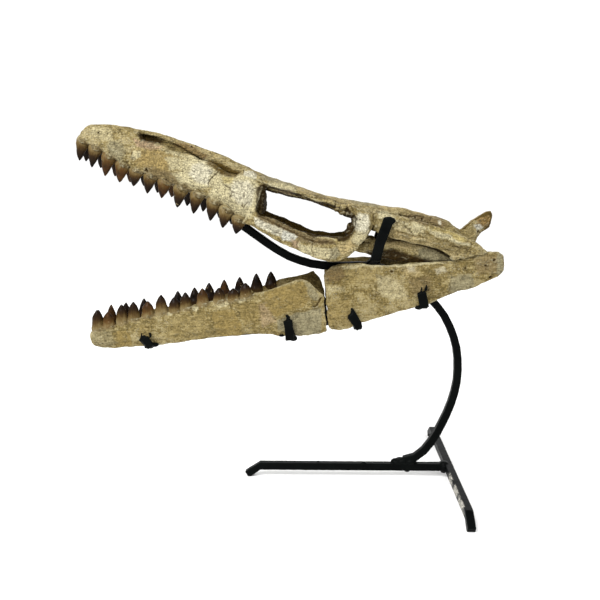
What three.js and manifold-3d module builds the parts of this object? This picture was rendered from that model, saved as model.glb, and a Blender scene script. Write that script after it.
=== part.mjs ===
// A fossil mosasaur skull with its lower jaws, on the welded steel stand that carries it.
// Millimetres, +Z up. The snout points to -X, the animal's left side faces -Y, and the stand's feet
// rest on z = 0 under the middle of the model.
import * as THREE from 'three';
import { mergeVertices } from 'three/addons/utils/BufferGeometryUtils.js';
import Module from 'manifold-3d';

const wasm = await Module();
wasm.setup();

// ---------------------------------------------------------------- driving dimensions
const GAP = 0.3; // clearance between pieces that touch
const SEAM_REACH = 900; // size of the blocks that part one bone from the next

const SKULL_PITCH = 16; // degrees, snout up
const SKULL_TIP = [-241.6, 0, 410.6]; // row-frame place of the skull frame's origin, at the snout

const JAW_TIP_X = -232.5; // where the two lower jaws come closest
const JAW_TIP_Y = 9; // half the distance between their centre lines there
const JAW_SPLAY = 0.075; // how fast each jaw leaves the mid-plane towards the rear

const BAR = 8; // square stand bar
const BASE_HEIGHT = 13.2; // centre line of the base bars over the floor
const FOOT_DROP = 16; // length of the bent foot at the end of a base bar, along the bar
const FOOT_END_Z = 2.3; // centre line of the bar where its bent end is cut off
const LONG_BAR_END_X = -52.5;
const CROSS_BAR_X = 197;
const CROSS_BAR_REACH = 152; // half length of the cross bar, feet included
const POST_FOOT_X = 142;
const STRAP_THICKNESS = 3;
const STRAP_WIDTH = 9;
const CLAMP_WIDTH = 11.5;
const RIGHT_CLAMP_SHIFT = [6, 0, -1.7]; // the right clamp grips a little further back
const RAIL_SIZE = 6;
const PIN_RADIUS = 0.75;

const TOOTH_SIDES = 5;
const TOOTH_HOOK = 0.05; // how far a crown bows forward, of its length
const UPPER_TOOTH_RADIUS = 6.7;
const LOWER_TOOTH_RADIUS = 6.3;
const UPPER_TOOTH_LEAN = 0.6; // how far a tip lies ahead of its socket
const LOWER_TOOTH_LEAN = 2.4;
const RIGHT_TOOTH_SHIFT = 3.6; // the right upper row has drifted back by this much

const LEFT = -1;
const RIGHT = 1;
const SIDES = [['left', LEFT], ['right', RIGHT]];

// ---------------------------------------------------------------- materials
const finish = (color, roughness, metalness) => () =>
  new THREE.MeshStandardMaterial({ color, roughness, metalness });
const tanBone = finish('#a8935f', 0.8, 0);
const paleBone = finish('#c2b58c', 0.85, 0);
const brownBone = finish('#8a7348', 0.8, 0);
const blackPaint = finish('#17191a', 0.45, 0.2);

// ---------------------------------------------------------------- solids
/** Turn a closed geometry into a manifold-3d solid, placed by a matrix where one is given. */
function solid(geometry, matrix = new THREE.Matrix4()) {
  const bare = geometry.clone();
  bare.deleteAttribute('normal');
  bare.deleteAttribute('uv');
  const merged = mergeVertices(bare.applyMatrix4(matrix), 1e-4);
  return new wasm.Manifold(new wasm.Mesh({
    numProp: 3,
    vertProperties: new Float32Array(merged.attributes.position.array),
    triVerts: new Uint32Array(merged.index.array),
  }));
}

/** Turn a manifold-3d solid back into a three.js geometry. */
function geometryOf(shape) {
  const { vertProperties, triVerts } = shape.getMesh();
  const geometry = new THREE.BufferGeometry();
  geometry.setAttribute('position', new THREE.BufferAttribute(new Float32Array(vertProperties), 3));
  geometry.setIndex(new THREE.BufferAttribute(new Uint32Array(triVerts), 1));
  geometry.computeVertexNormals();
  return geometry;
}

/** Closed loft through rings with equal numbers of points, its faces turned outwards. */
function loft(rings) {
  const count = rings[0].length;
  const points = rings.flat();
  const index = [];
  for (let i = 0; i < rings.length - 1; i++) {
    for (let j = 0; j < count; j++) {
      const a = i * count + j;
      const b = i * count + (j + 1) % count;
      index.push(a, b, a + count, b, b + count, a + count);
    }
  }
  for (let j = 1; j < count - 1; j++) {
    const last = (rings.length - 1) * count;
    index.push(0, j + 1, j, last, last + j, last + j + 1);
  }
  let volume = 0;
  for (let i = 0; i < index.length; i += 3) {
    const [a, b, c] = [points[index[i]], points[index[i + 1]], points[index[i + 2]]];
    volume += a.dot(new THREE.Vector3().crossVectors(b, c));
  }
  if (volume < 0) index.reverse();
  const geometry = new THREE.BufferGeometry().setFromPoints(points);
  geometry.setIndex(index);
  return geometry;
}

/** Unit superellipse as a ring of [across, along] points that reach 1 each way. */
function superellipse(sides, power) {
  const bend = (value) => Math.sign(value) * Math.abs(value) ** (2 / power);
  const ring = Array.from({ length: sides }, (_, j) => {
    const angle = (2 * Math.PI * (j + 0.5)) / sides;
    return [bend(Math.cos(angle)), bend(Math.sin(angle))];
  });
  const [wide, tall] = [0, 1].map((k) => Math.max(...ring.map((point) => point[k])));
  return ring.map(([across, along]) => [across / wide, along / tall]);
}

/**
 * Loft through ribs. A rib spans two edge points of the side view, [x1, z1] above and [x2, z2]
 * below, and reaches half to each side of the plane y. crown scales its width at the upper edge.
 * grow swells the whole shape, and lean draws its upper edge towards the mid-plane.
 */
function ribbed(rows, { side = RIGHT, grow = 0, sides = 8, power = 2.6, lean = 0 } = {}) {
  const outline = superellipse(sides, power);
  const middle = ([x1, z1, x2, z2]) => new THREE.Vector3((x1 + x2) / 2, 0, (z1 + z2) / 2);
  const rings = rows.map((row, i) => {
    const [x1, z1, x2, z2, y, half, crown = 1] = row;
    const edge = new THREE.Vector3(x1 - x2, 0, z1 - z2);
    const reach = edge.length() / 2 + grow;
    edge.normalize();
    const centre = middle(row);
    const neighbour = i === 0 ? rows[1] : i === rows.length - 1 ? rows[i - 1] : null;
    if (neighbour) centre.addScaledVector(middle(row).sub(middle(neighbour)).normalize(), grow);
    return outline.map(([across, along]) => {
      const width = THREE.MathUtils.lerp(half, half * crown, (along + 1) / 2) + grow;
      const point = centre.clone().addScaledVector(edge, along * reach);
      point.y = side * (y - lean * along) + across * width;
      return point;
    });
  });
  return loft(rings);
}

/** Ribs that stand upright at x: [x, top, bottom, y, half, crown]. */
const upright = (rows) => rows.map(([x, top, bottom, ...rest]) => [x, top, x, bottom, ...rest]);

/** Round limb along [x, y, z, radius] points, y counted outwards from the mid-plane. */
function limb(points, { side = RIGHT, grow = 0, sides = 6 } = {}) {
  const path = points.map(([x, y, z]) => new THREE.Vector3(x, side * y, z));
  const run = path.at(-1).clone().sub(path[0]).normalize();
  const level = Math.abs(run.z) > 0.7 ? new THREE.Vector3(1, 0, 0) : new THREE.Vector3(0.1, 0, 1);
  const rings = points.map(([, , , radius], i) => {
    const before = path[Math.max(i - 1, 0)];
    const after = path[Math.min(i + 1, path.length - 1)];
    const along = after.clone().sub(before).normalize();
    const across = new THREE.Vector3().crossVectors(along, level).normalize();
    const up = new THREE.Vector3().crossVectors(across, along);
    const end = i === 0 ? -grow : i === path.length - 1 ? grow : 0;
    return Array.from({ length: sides }, (_, j) => {
      const angle = (2 * Math.PI * j) / sides;
      return path[i].clone().addScaledVector(along, end)
        .addScaledVector(across, Math.cos(angle) * (radius + grow))
        .addScaledVector(up, Math.sin(angle) * (radius + grow));
    });
  });
  return loft(rings);
}

/** Flat strap along points, its width lying as near to X as its path lets it. */
function strap(path, width, thickness, grow = 0) {
  const corners = [
    [1, 0.6], [0.85, 1], [-0.85, 1], [-1, 0.6], [-1, -0.6], [-0.85, -1], [0.85, -1], [1, -0.6],
  ];
  const rings = path.map((point, i) => {
    const before = path[Math.max(i - 1, 0)];
    const after = path[Math.min(i + 1, path.length - 1)];
    const along = after.clone().sub(before).normalize();
    const wide = new THREE.Vector3(1, 0, 0).addScaledVector(along, -along.x).normalize();
    const thick = new THREE.Vector3().crossVectors(along, wide);
    const end = i === 0 ? -grow : i === path.length - 1 ? grow : 0;
    return corners.map(([w, t]) => point.clone().addScaledVector(along, end)
      .addScaledVector(wide, w * (width / 2 + grow))
      .addScaledVector(thick, t * (thickness / 2 + grow)));
  });
  return loft(rings);
}

/** Square bar along a curve in the mid-plane or across it. */
function squareBar(curve, size, steps) {
  const half = size / 2;
  const section = new THREE.Shape();
  section.moveTo(-half, -half);
  section.lineTo(half, -half);
  section.lineTo(half, half);
  section.lineTo(-half, half);
  return new THREE.ExtrudeGeometry(section, { extrudePath: curve, steps, bevelEnabled: false });
}

/** Bead of weld metal: a low rounded lump. */
function bead(x, y, z, rx, ry, rz) {
  const lump = new THREE.IcosahedronGeometry(1, 0);
  return solid(lump, new THREE.Matrix4().makeTranslation(x, y, z).scale(new THREE.Vector3(rx, ry, rz)));
}

/**
 * Part a solid along the side-view line from p to q. Gives the part on the line's left, then the
 * part on its right, with the gap between them.
 */
function parted(shape, [px, pz], [qx, qz]) {
  const angle = Math.atan2(qz - pz, qx - px);
  const blockOn = (sign) => {
    const block = new THREE.BoxGeometry(SEAM_REACH, SEAM_REACH, SEAM_REACH);
    const place = new THREE.Matrix4().makeTranslation((px + qx) / 2, 0, (pz + qz) / 2)
      .multiply(new THREE.Matrix4().makeRotationY(-angle))
      .multiply(new THREE.Matrix4().makeTranslation(0, 0, sign * (SEAM_REACH / 2 - GAP / 2)));
    return solid(block, place);
  };
  return [shape.subtract(blockOn(-1)), shape.subtract(blockOn(1))];
}

/** The half of a solid that lies on one side of the mid-plane. */
function halfOf(shape, side) {
  const block = new THREE.BoxGeometry(SEAM_REACH, SEAM_REACH, SEAM_REACH);
  const centre = -side * (SEAM_REACH / 2 - GAP / 2);
  return shape.subtract(solid(block, new THREE.Matrix4().makeTranslation(0, centre, 0)));
}

const union = (shapes) => shapes.reduce((all, shape) => all.add(shape));
const without = (shape, cutters) => cutters.reduce((left, cutter) => left.subtract(cutter), shape);

/** The largest single body of a solid, without the crumbs that a cut can leave. */
function mainBody(shape) {
  const bodies = shape.decompose();
  return bodies.reduce((best, body) => (body.volume() > best.volume() ? body : best));
}

function node(name, shape, material) {
  const mesh = new THREE.Mesh(geometryOf(mainBody(shape)), material());
  mesh.name = name;
  return mesh;
}

/** Height of an edge at x, read off rows of [x, ...] by straight lines. */
function heightAt(rows, x, column) {
  const i = Math.min(Math.max(rows.findIndex((row) => row[0] >= x), 1), rows.length - 1);
  const [a, b] = [rows[i - 1], rows[i]];
  return THREE.MathUtils.mapLinear(x, a[0], b[0], a[column], b[column]);
}

/** Slightly hooked conical tooth from its socket to its tip, [x, y, z] each. */
function tooth(socket, tip, radius) {
  const stations = [[0, 1], [0.5, 0.8], [1, 0.1]];
  const base = new THREE.Vector3(...socket);
  const axis = new THREE.Vector3(...tip).sub(base);
  const hook = TOOTH_HOOK * axis.length();
  const points = stations.map(([t, scale]) => {
    const at = base.clone().addScaledVector(axis, t);
    return [at.x - hook * Math.sin(Math.PI * t), at.y, at.z, radius * scale];
  });
  return solid(limb(points, { sides: TOOTH_SIDES }));
}

// ---------------------------------------------------------------- frames
const skull = new THREE.Group();
skull.position.set(...SKULL_TIP);
skull.rotation.y = THREE.MathUtils.degToRad(SKULL_PITCH);
skull.updateMatrix();
const toSkull = skull.matrix.clone().invert();
const jaws = new THREE.Group();
const stand = new THREE.Group();
const model = new THREE.Group();
model.add(skull, jaws, stand);

// ---------------------------------------------------------------- stand: curved post and arm
// The post rises from the long bar, swings back round the jaws and comes forward under the palate.
const POST_LINE = [
  [POST_FOOT_X, 21.6], [154.5, 25], [166.2, 34.4], [178, 51], [188.5, 72.5], [197.7, 96], [203.5, 122],
  [204, 145], [201, 168], [194.8, 186], [186.4, 203], [174, 219], [156, 236], [136, 250.5], [114, 260],
  [90, 264], [66.6, 263.6], [45, 264], [28, 266], [13.8, 269.8], [-2, 276], [-19.5, 286.4],
  [-39, 300.2], [-55, 311.6], [-70, 322],
];
const postCurve = new THREE.CatmullRomCurve3(POST_LINE.map(([x, z]) => new THREE.Vector3(x, 0, z)));
const POST_STEPS = 36;
const post = solid(squareBar(postCurve, BAR, POST_STEPS));
const postRoom = squareBar(postCurve, BAR + 2 * GAP, POST_STEPS);

// ---------------------------------------------------------------- lower jaws
// Rows: x, top, bottom, y (from the jaw's own centre line), half width, crown.
const DENTARY_ROWS = [
  [-237, 183, 171, 0, 3.6, 1], [-234.4, 187.4, 167.6, 0, 5.4, 0.9], [-224, 189.6, 166, 0, 6.4, 0.85],
  [-209, 194.6, 165.8, 0, 6.8, 0.8], [-188, 201, 167.2, 0, 7, 0.8], [-156, 209.3, 171.6, 0, 7.2, 0.8],
  [-127, 214.6, 175.4, 0, 7.4, 0.8], [-93, 224, 180, 0, 7.4, 0.75], [-62, 229, 183.4, 0, 7.3, 0.72],
  [-30, 236.5, 186.4, 0, 7, 0.7], [-6, 244.4, 184.8, 0, 6.8, 0.65],
];
// The rear corner of each dentary has broken to its own outline.
const DENTARY_CORNERS = {
  left: [[15, 251.4, 184.3, 0, 6.4, 0.6], [25.5, 247.4, 185.6, 0, 6, 0.6], [36, 237, 187.4, 0, 5.4, 0.7]],
  right: [[16, 250, 184.3, 0, 6.4, 0.6], [29.5, 253.6, 185.6, 0, 6, 0.6], [37, 246, 187.4, 0, 5.4, 0.7]],
};
const DENTARY_END = [42.1, 231, 44.9, 190.5, 0, 4.4, 0.9];
const HIND_JAW_FRONT = [41.9, 261, 46.6, 195.5, 0, 4.6, 0.9];
const HIND_JAW_ROWS = [
  [50, 267.4, 192.6, 0, 6, 0.8], [58.5, 269.2, 192.5, 0, 6.7, 0.75], [72, 270.1, 195.6, 0, 7, 0.75],
  [87, 270.2, 202.3, 0, 7.2, 0.75], [101.5, 269.1, 208, 0, 7.2, 0.75], [118, 268.4, 212.1, 0, 7.2, 0.75],
  [141, 271.2, 220.7, 0, 7.2, 0.75], [162, 272.4, 227, 0, 7.2, 0.75], [185, 274.6, 237.2, 0, 7.4, 0.8],
  [203.5, 280.4, 242.8, 0, 8, 0.85], [214, 284, 246.4, 0, 8, 0.85], [228, 285.8, 253.2, 0, 7.6, 0.85],
  [237, 285, 257.6, 0, 6.4, 0.9], [241.8, 282, 263.8, 0, 4.6, 0.95], [243.2, 278, 269.6, 0, 3, 1],
];
// Tooth tips of each jaw as [x, z]: the two sides have lost and grown different teeth.
const LOWER_TIPS = {
  left: [
    [-229.7, 211.4], [-216.4, 209.4], [-199.5, 218.5], [-185, 221.9], [-167.7, 223], [-151.3, 230.6],
    [-135.5, 228.4], [-122, 234.4], [-101.5, 239.4], [-81.7, 240.5], [-65.1, 240], [-50.5, 246.6],
  ],
  right: [
    [-233, 208], [-217.5, 214.4], [-199.6, 216.9], [-177.8, 221.7], [-157, 226], [-136.7, 230.4],
    [-116.3, 234.6], [-98.6, 240.2], [-80.2, 244], [-61.3, 247.2], [-41, 251.3], [-23.2, 253.6],
  ],
};
const ARTICULAR_SEAM = [[196, 292], [206, 236]];
const RIGHT_ARTICULAR_BREAK = [[214, 290], [232, 262]]; // the right jaw has lost its rear corner

const jawLine = (x) => JAW_TIP_Y + JAW_SPLAY * (x - JAW_TIP_X);
const onJawLine = (rows) => rows.map((row) => {
  const placed = [...row];
  placed[4] += jawLine((row[0] + row[2]) / 2);
  return placed;
});
const hindJawRibs = onJawLine([HIND_JAW_FRONT, ...upright(HIND_JAW_ROWS)]);

for (const [name, side] of SIDES) {
  const teeth = LOWER_TIPS[name].map(([x, z]) => {
    const socketX = x + LOWER_TOOTH_LEAN;
    const socketZ = heightAt(DENTARY_ROWS, socketX, 1) - 5;
    const y = side * jawLine(socketX);
    return tooth([socketX, y, socketZ], [x, y, z], LOWER_TOOTH_RADIUS);
  });
  const dentaryRibs = onJawLine([...upright([...DENTARY_ROWS, ...DENTARY_CORNERS[name]]), DENTARY_END]);
  const dentary = union([solid(ribbed(dentaryRibs, { side })), ...teeth]);
  const whole = solid(ribbed(hindJawRibs, { side }));
  const hindJaw = side === RIGHT ? parted(whole, ...RIGHT_ARTICULAR_BREAK)[1] : whole;
  const [articular, surangular] = parted(hindJaw, ...ARTICULAR_SEAM);
  jaws.add(
    node(`dentary_${name}`, dentary, tanBone),
    node(`surangular_${name}`, surangular, brownBone),
    node(`articular_${name}`, articular, tanBone),
  );
}

// ---------------------------------------------------------------- skull
// Everything here is in the skull's own frame: x runs back from the snout and z stands off its
// long axis. Rows: x, top, bottom, y, half width, crown.
const SNOUT_ROWS = [
  [-0.5, 11.5, 3, 0, 7, 0.85], [2, 16.5, 0, 0, 11.5, 0.8], [8, 20, -1.8, 0, 15, 0.7],
  [19, 23.6, -3, 0, 19, 0.62], [35, 27.4, -8, 0, 22.5, 0.58], [52, 29.8, -14, 0, 25, 0.56],
  [63, 30.2, -16, 0, 26.3, 0.58], [71, 22, -17, 0, 27, 0.72], [100, 21.4, -19.5, 0, 29, 0.72],
  [120, 22.5, -21.3, 0, 31, 0.72], [148, 21, -23, 0, 33.5, 0.74], [162, 18.4, -24.5, 0, 35, 0.76],
  [176, 14, -26.5, 0, 36.5, 0.8], [186, 13, -30, 0, 38, 0.8], [195, 19, -35, 0, 40, 0.74],
  [207, 19.6, -39, 0, 41.5, 0.74], [219, 16, -37.5, 0, 42, 0.76],
];
const NASAL_BAR_ROWS = [
  [52, 29.8, 18, 0, 9, 0.75], [68, 31.4, 24, 0, 7, 0.75], [82, 32.3, 26.5, 0, 5.6, 0.8],
  [100, 32.4, 25.4, 0, 5.6, 0.8], [116, 31.8, 23.2, 0, 6, 0.8], [135, 30.3, 18, 0, 7, 0.8],
  [160, 28.3, 12, 0, 8, 0.8], [188, 24, 8, 0, 10, 0.8], [204, 21.6, 9, 0, 12, 0.8],
];
const SEPTUM_ROWS = [
  [67, 28, 20.4, 0, 2.2, 1], [74, 28, 14.4, 0, 2.4, 1], [90, 28, 9, 0, 2.4, 1], [120, 25, 7, 0, 2.6, 1],
  [150, 18, 5, 0, 2.8, 1], [174, 12, 4, 0, 3, 1], [184, 12, 7, 0, 3, 1],
];
const NOSTRIL_ROWS = [
  [67, 60, 19, 0, 7, 1], [74, 60, 13, 0, 12, 1], [90, 60, 8, 0, 14.5, 1], [120, 60, 6, 0, 16.5, 1],
  [150, 60, 4, 0, 18.5, 1], [175, 60, 3, 0, 20, 1], [186, 60, 6, 0, 18, 1], [191, 60, 12, 0, 14, 1],
];
const PALATE_ROWS = [
  [14, -1, -30, 0, 5, 0.5], [30, -1, -30, 0, 9, 0.5], [60, -8, -40, 0, 13.5, 0.6],
  [100, -10, -45, 0, 17.5, 0.6], [140, -13, -50, 0, 21, 0.6], [170, -17, -50, 0, 23, 0.6],
  [181, -23, -50, 0, 16, 0.6],
];
const ROOF_ROWS = [
  [193, 23.3, 13, 0, 24, 0.6], [206, 21.4, 10, 0, 32, 0.68], [222, 19.4, 9.5, 0, 33.5, 0.74],
  [242, 18.2, 9.5, 0, 31, 0.76], [268, 17, 8.5, 0, 29.5, 0.76], [290, 16.3, 8, 0, 29.5, 0.76],
  [308, 17.8, 7.5, 0, 32, 0.76], [326, 20, 6, 0, 36, 0.74], [340, 21.4, 4.5, 0, 40, 0.7],
  [352, 22.5, 4, 0, 38, 0.62], [361, 23.5, 5, 0, 27, 0.55], [370, 25, 6, 0, 17, 0.6],
  [385, 27, 5, 0, 13, 0.6], [402, 28.2, 4, 0, 12, 0.55], [424, 29.5, 3, 0, 12, 0.55],
  [436, 28.2, 2, 0, 14, 0.6], [447, 24.5, 0, 0, 17, 0.65], [455, 21.5, -2, 0, 16, 0.65],
];
const KEEL_ROWS = [
  [212, 12, 4, 0, 16, 0.8], [240, 12, 5.4, 0, 12, 0.8], [275, 11, 5.8, 0, 10, 0.8],
  [300, 11, 4.4, 0, 11, 0.8], [318, 11, 1.6, 0, 13, 0.8], [338, 12, 0, 0, 14, 0.8],
  [366, 12, 2, 0, 12, 0.8],
];
const BRAINCASE_ROWS = [
  [364, 10, -6, 0, 10, 0.8], [374, 12, -16, 0, 15, 0.8], [392, 12, -25, 0, 18, 0.75],
  [415, 12, -27, 0, 20, 0.75], [440, 10, -25, 0, 21, 0.8], [458, 8, -18, 0, 19, 0.8],
  [468, 4, -10, 0, 12, 0.8],
];
// Bent bones, by ribs: upper edge x, z, lower edge x, z, y, half width, crown.
const CHEEK_RIBS = [
  [214, -19, 209, -37, 36, 5.6, 0.8], [224, -22.5, 222, -37, 36.5, 5.8, 0.8],
  [236, -22.6, 236, -40.6, 37, 6, 0.8], [250, -24, 251, -45.7, 37.5, 6.2, 0.75],
  [262, -26.3, 266, -48.2, 38, 6.4, 0.75], [276, -28, 282, -50.3, 38, 6.4, 0.7],
  [290, -30, 299, -52, 38, 6.4, 0.7], [303, -27.4, 315, -51.6, 38, 6.2, 0.75],
  [314, -24.6, 325, -48.6, 38, 6.2, 0.8], [324, -20.6, 333.4, -42.4, 38, 6.2, 0.85],
  [331.4, -13.6, 340.6, -30.6, 37.5, 6.2, 0.9], [333.4, -6, 345.8, -17.4, 37, 6.4, 1],
  [332, 1.6, 349.8, -6.6, 36.5, 6.8, 1], [327.4, 8.6, 351, 3, 35.5, 7.4, 1],
  [321, 15.4, 350, 13, 32, 8, 1],
];
const TEMPORAL_RIBS = [
  [347, 15, 348, 0, 34, 8, 1], [360, 17, 361, -5.2, 36.5, 8.6, 1], [376, 19, 378, -5.4, 37.6, 9, 1],
  [392, 20, 392, -4.6, 38, 9, 1], [412, 19.4, 412, -3.4, 38.6, 8.6, 1], [430, 19, 430, -4.2, 39.6, 8.2, 1],
  [446, 18, 445, -7.2, 41, 8, 1], [458, 16.2, 456, -6.6, 42, 7.6, 1], [468, 14, 465, -1.6, 43, 7, 1],
  [476, 10.8, 474, 4.4, 44, 6, 1], [482.6, 8.2, 481.4, 7.4, 45, 3.4, 1],
];
const PTERYGOID_RIBS = [
  [212, -27, 212, -37, 15.5, 7, 0.9], [240, -31, 240, -40, 15, 6, 0.9], [270, -33.5, 270, -42, 17, 6, 0.9],
  [298, -32.5, 300, -42, 20.5, 6.6, 0.9], [322, -28, 326, -39, 24.5, 6.4, 0.9],
  [342, -22, 341, -33.4, 27, 5.8, 0.9], [356, -20.5, 356, -32.6, 28.5, 5.4, 0.9],
  [368, -17, 370, -33, 29.5, 5, 0.85], [382, -9, 388, -31.6, 30, 4.8, 0.85],
  [405, -6, 408, -27, 30.5, 4.4, 0.85], [424, -6, 425, -20.6, 31.5, 3.8, 0.85],
  [440, -8, 441, -15.6, 33, 3.2, 0.9], [450, -9.8, 451, -12.6, 34, 2.4, 1],
  [456, -10.8, 456.4, -11.8, 34.6, 1.4, 1],
];
const OCCIPITAL_RIBS = [
  [451, 12, 468, 0, 2, 8, 1], [455.5, 21.5, 477, 12.6, 3.5, 8, 1], [458.5, 26.4, 477.2, 20, 4.4, 7.6, 1],
  [463.6, 34, 480, 26.6, 5, 7, 1], [472, 44.2, 487.5, 34.6, 5.4, 6, 1], [480, 50.8, 487.5, 41, 5.6, 4.8, 1],
  [483.6, 52.4, 486.4, 48.4, 5.6, 3.4, 1],
];
const PARIETAL_WING = [
  [418, 6, 23, 6], [432, 12, 21.6, 6.4], [445, 22, 17, 6], [455, 31, 13, 5.4], [462, 37, 10, 4.6],
];
const BASAL_PROCESS = [[392, 12, -17, 6.4], [392, 19, -18, 5.6], [392, 24.6, -19, 5]];
const EAR_PROCESS = [[446, 12, -2, 7], [454, 22, 1, 6], [459, 31, 3.4, 5.4], [461, 36, 4, 5]];
const ECTOPTERYGOID = [[312, 22, -34, 5], [313, 27, -35, 4.6], [314, 31.6, -37, 4.4]];

// Sockets of one side's upper teeth, by the x of each tip, and how long the crowns are.
const UPPER_TIPS = [
  [4.8, -23.4], [22.1, -26.6], [40.1, -31.6], [58.4, -33.7], [75.2, -33.4], [92.8, -37], [110.2, -37.4],
  [130.6, -42.6], [150.6, -44.1], [171.4, -46.4], [187.4, -50], [204.1, -52],
];
const PREMAXILLARY_TEETH = 2;
const GUM_INSET = 7.5; // tooth row's distance in from the snout's side

const PREMAXILLA_SEAM = [[12, -18], [62, 31]];
const PREFRONTAL_SEAM = [[222, -27], [172, 34]];
const FRONTAL_SEAM = [[337, -30], [331, 60]];
const JUGAL_SEAM = [[318, -10], [352, -27]];
const SQUAMOSAL_SEAM = [[379, -30], [369, 60]];
const QUADRATE_SEAM = [[458, -30], [450, 60]];

const upperTooth = ([tipX, z], side, grow = 0) => {
  const x = side === RIGHT ? tipX + RIGHT_TOOTH_SHIFT : tipX;
  const socketX = x + UPPER_TOOTH_LEAN;
  const socketZ = heightAt(SNOUT_ROWS, socketX, 2) + 5;
  const y = side * (heightAt(SNOUT_ROWS, Math.max(socketX, 2), 4) - GUM_INSET);
  return tooth([Math.max(socketX, 4), y, socketZ + grow], [x, y, z], UPPER_TOOTH_RADIUS + grow);
};
const premaxillaryTeeth = (grow) => [LEFT, RIGHT].flatMap((side) =>
  UPPER_TIPS.slice(0, PREMAXILLARY_TEETH).map((tip) => upperTooth(tip, side, grow)));

const snoutShape = (grow) => solid(ribbed(upright(SNOUT_ROWS), { grow, sides: 12, power: 2.9 }));
const roofShape = (grow) => union([
  solid(ribbed(upright(ROOF_ROWS), { grow, sides: 12, power: 2.7 })),
  solid(ribbed(upright(KEEL_ROWS), { grow })),
]);
const nasalBarShape = (grow) => union([
  solid(ribbed(upright(NASAL_BAR_ROWS), { grow })),
  solid(ribbed(upright(SEPTUM_ROWS), { grow, sides: 4, power: 8 })),
]);
const cheekShape = (side, grow) => solid(ribbed(CHEEK_RIBS, { side, grow, lean: 2.2 }));
const temporalShape = (side, grow) => solid(ribbed(TEMPORAL_RIBS, { side, grow }));
const pterygoidShape = (side, grow) => union([
  solid(ribbed(PTERYGOID_RIBS, { side, grow })),
  solid(limb(ECTOPTERYGOID, { side, grow })),
]);
const braincaseShape = (grow) => union([
  solid(ribbed(upright(BRAINCASE_ROWS), { grow, sides: 10 })),
  ...[LEFT, RIGHT].flatMap((side) => [
    solid(limb(BASAL_PROCESS, { side, grow })), solid(limb(EAR_PROCESS, { side, grow })),
  ]),
]);

const nostril = solid(ribbed(upright(NOSTRIL_ROWS), { power: 4 }));
const palate = solid(ribbed(upright(PALATE_ROWS)));
const armRoom = solid(postRoom, toSkull);
const jawRoom = [LEFT, RIGHT].map((side) =>
  solid(ribbed(hindJawRibs, { side, grow: GAP }), toSkull));

// The snout block: nostrils open above it, the palate is hollowed between the tooth rows.
const snout = without(snoutShape(0), [nostril, palate, armRoom]);
const [snoutTip, snoutRest] = parted(snout, ...PREMAXILLA_SEAM);
const premaxilla = union([snoutTip, nasalBarShape(0), ...premaxillaryTeeth(0)]);
const cheekWall = without(snoutRest, [nasalBarShape(GAP), roofShape(GAP), ...premaxillaryTeeth(GAP)]);
const [maxillae, prefrontals] = parted(cheekWall, ...PREFRONTAL_SEAM);
const roof = without(roofShape(0), [nasalBarShape(GAP)]);
const [frontal, parietalPlate] = parted(roof, ...FRONTAL_SEAM);
const parietalWings = [LEFT, RIGHT].map((side) => solid(limb(PARIETAL_WING, { side })));
const temporalRoom = [LEFT, RIGHT].map((side) => temporalShape(side, GAP));
const parietal = without(union([parietalPlate, ...parietalWings]), temporalRoom);
const parietalRoom = union([
  roofShape(GAP), ...[LEFT, RIGHT].map((side) => solid(limb(PARIETAL_WING, { side, grow: GAP }))),
]);
const pterygoidRoom = [LEFT, RIGHT].map((side) => pterygoidShape(side, GAP));
const braincase = without(braincaseShape(0), [parietalRoom, ...temporalRoom, ...pterygoidRoom, ...jawRoom]);
const occipital = without(solid(ribbed(OCCIPITAL_RIBS)), [braincaseShape(GAP), parietalRoom]);

skull.add(
  node('premaxilla', premaxilla, tanBone),
  node('frontal', frontal, tanBone),
  node('parietal', parietal, brownBone),
  node('braincase', braincase, brownBone),
  node('occipital_process', occipital, brownBone),
);
for (const [name, side] of SIDES) {
  const teeth = UPPER_TIPS.slice(PREMAXILLARY_TEETH).map((tip) => upperTooth(tip, side));
  const lastToothRoom = upperTooth(UPPER_TIPS.at(-1), side, GAP);
  const cheek = without(cheekShape(side, 0), [snoutShape(GAP), roofShape(GAP), lastToothRoom]);
  const [postorbital, jugal] = parted(cheek, ...JUGAL_SEAM);
  const arch = without(temporalShape(side, 0), [cheekShape(side, GAP), roofShape(GAP), ...jawRoom]);
  const [postorbitalArm, hindArch] = parted(arch, ...SQUAMOSAL_SEAM);
  const [squamosal, quadrate] = parted(hindArch, ...QUADRATE_SEAM);
  const pterygoid = without(pterygoidShape(side, 0),
    [snoutShape(GAP), cheekShape(side, GAP), lastToothRoom, armRoom, ...jawRoom]);
  skull.add(
    node(`maxilla_${name}`, union([halfOf(maxillae, side), ...teeth]), tanBone),
    node(`prefrontal_${name}`, halfOf(prefrontals, side), paleBone),
    node(`jugal_${name}`, jugal, paleBone),
    node(`postorbital_${name}`, postorbital, paleBone),
    node(`temporal_arch_${name}`, postorbitalArm, brownBone),
    node(`squamosal_${name}`, squamosal, tanBone),
    node(`quadrate_${name}`, quadrate, tanBone),
    node(`pterygoid_${name}`, pterygoid, brownBone),
  );
}

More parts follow.
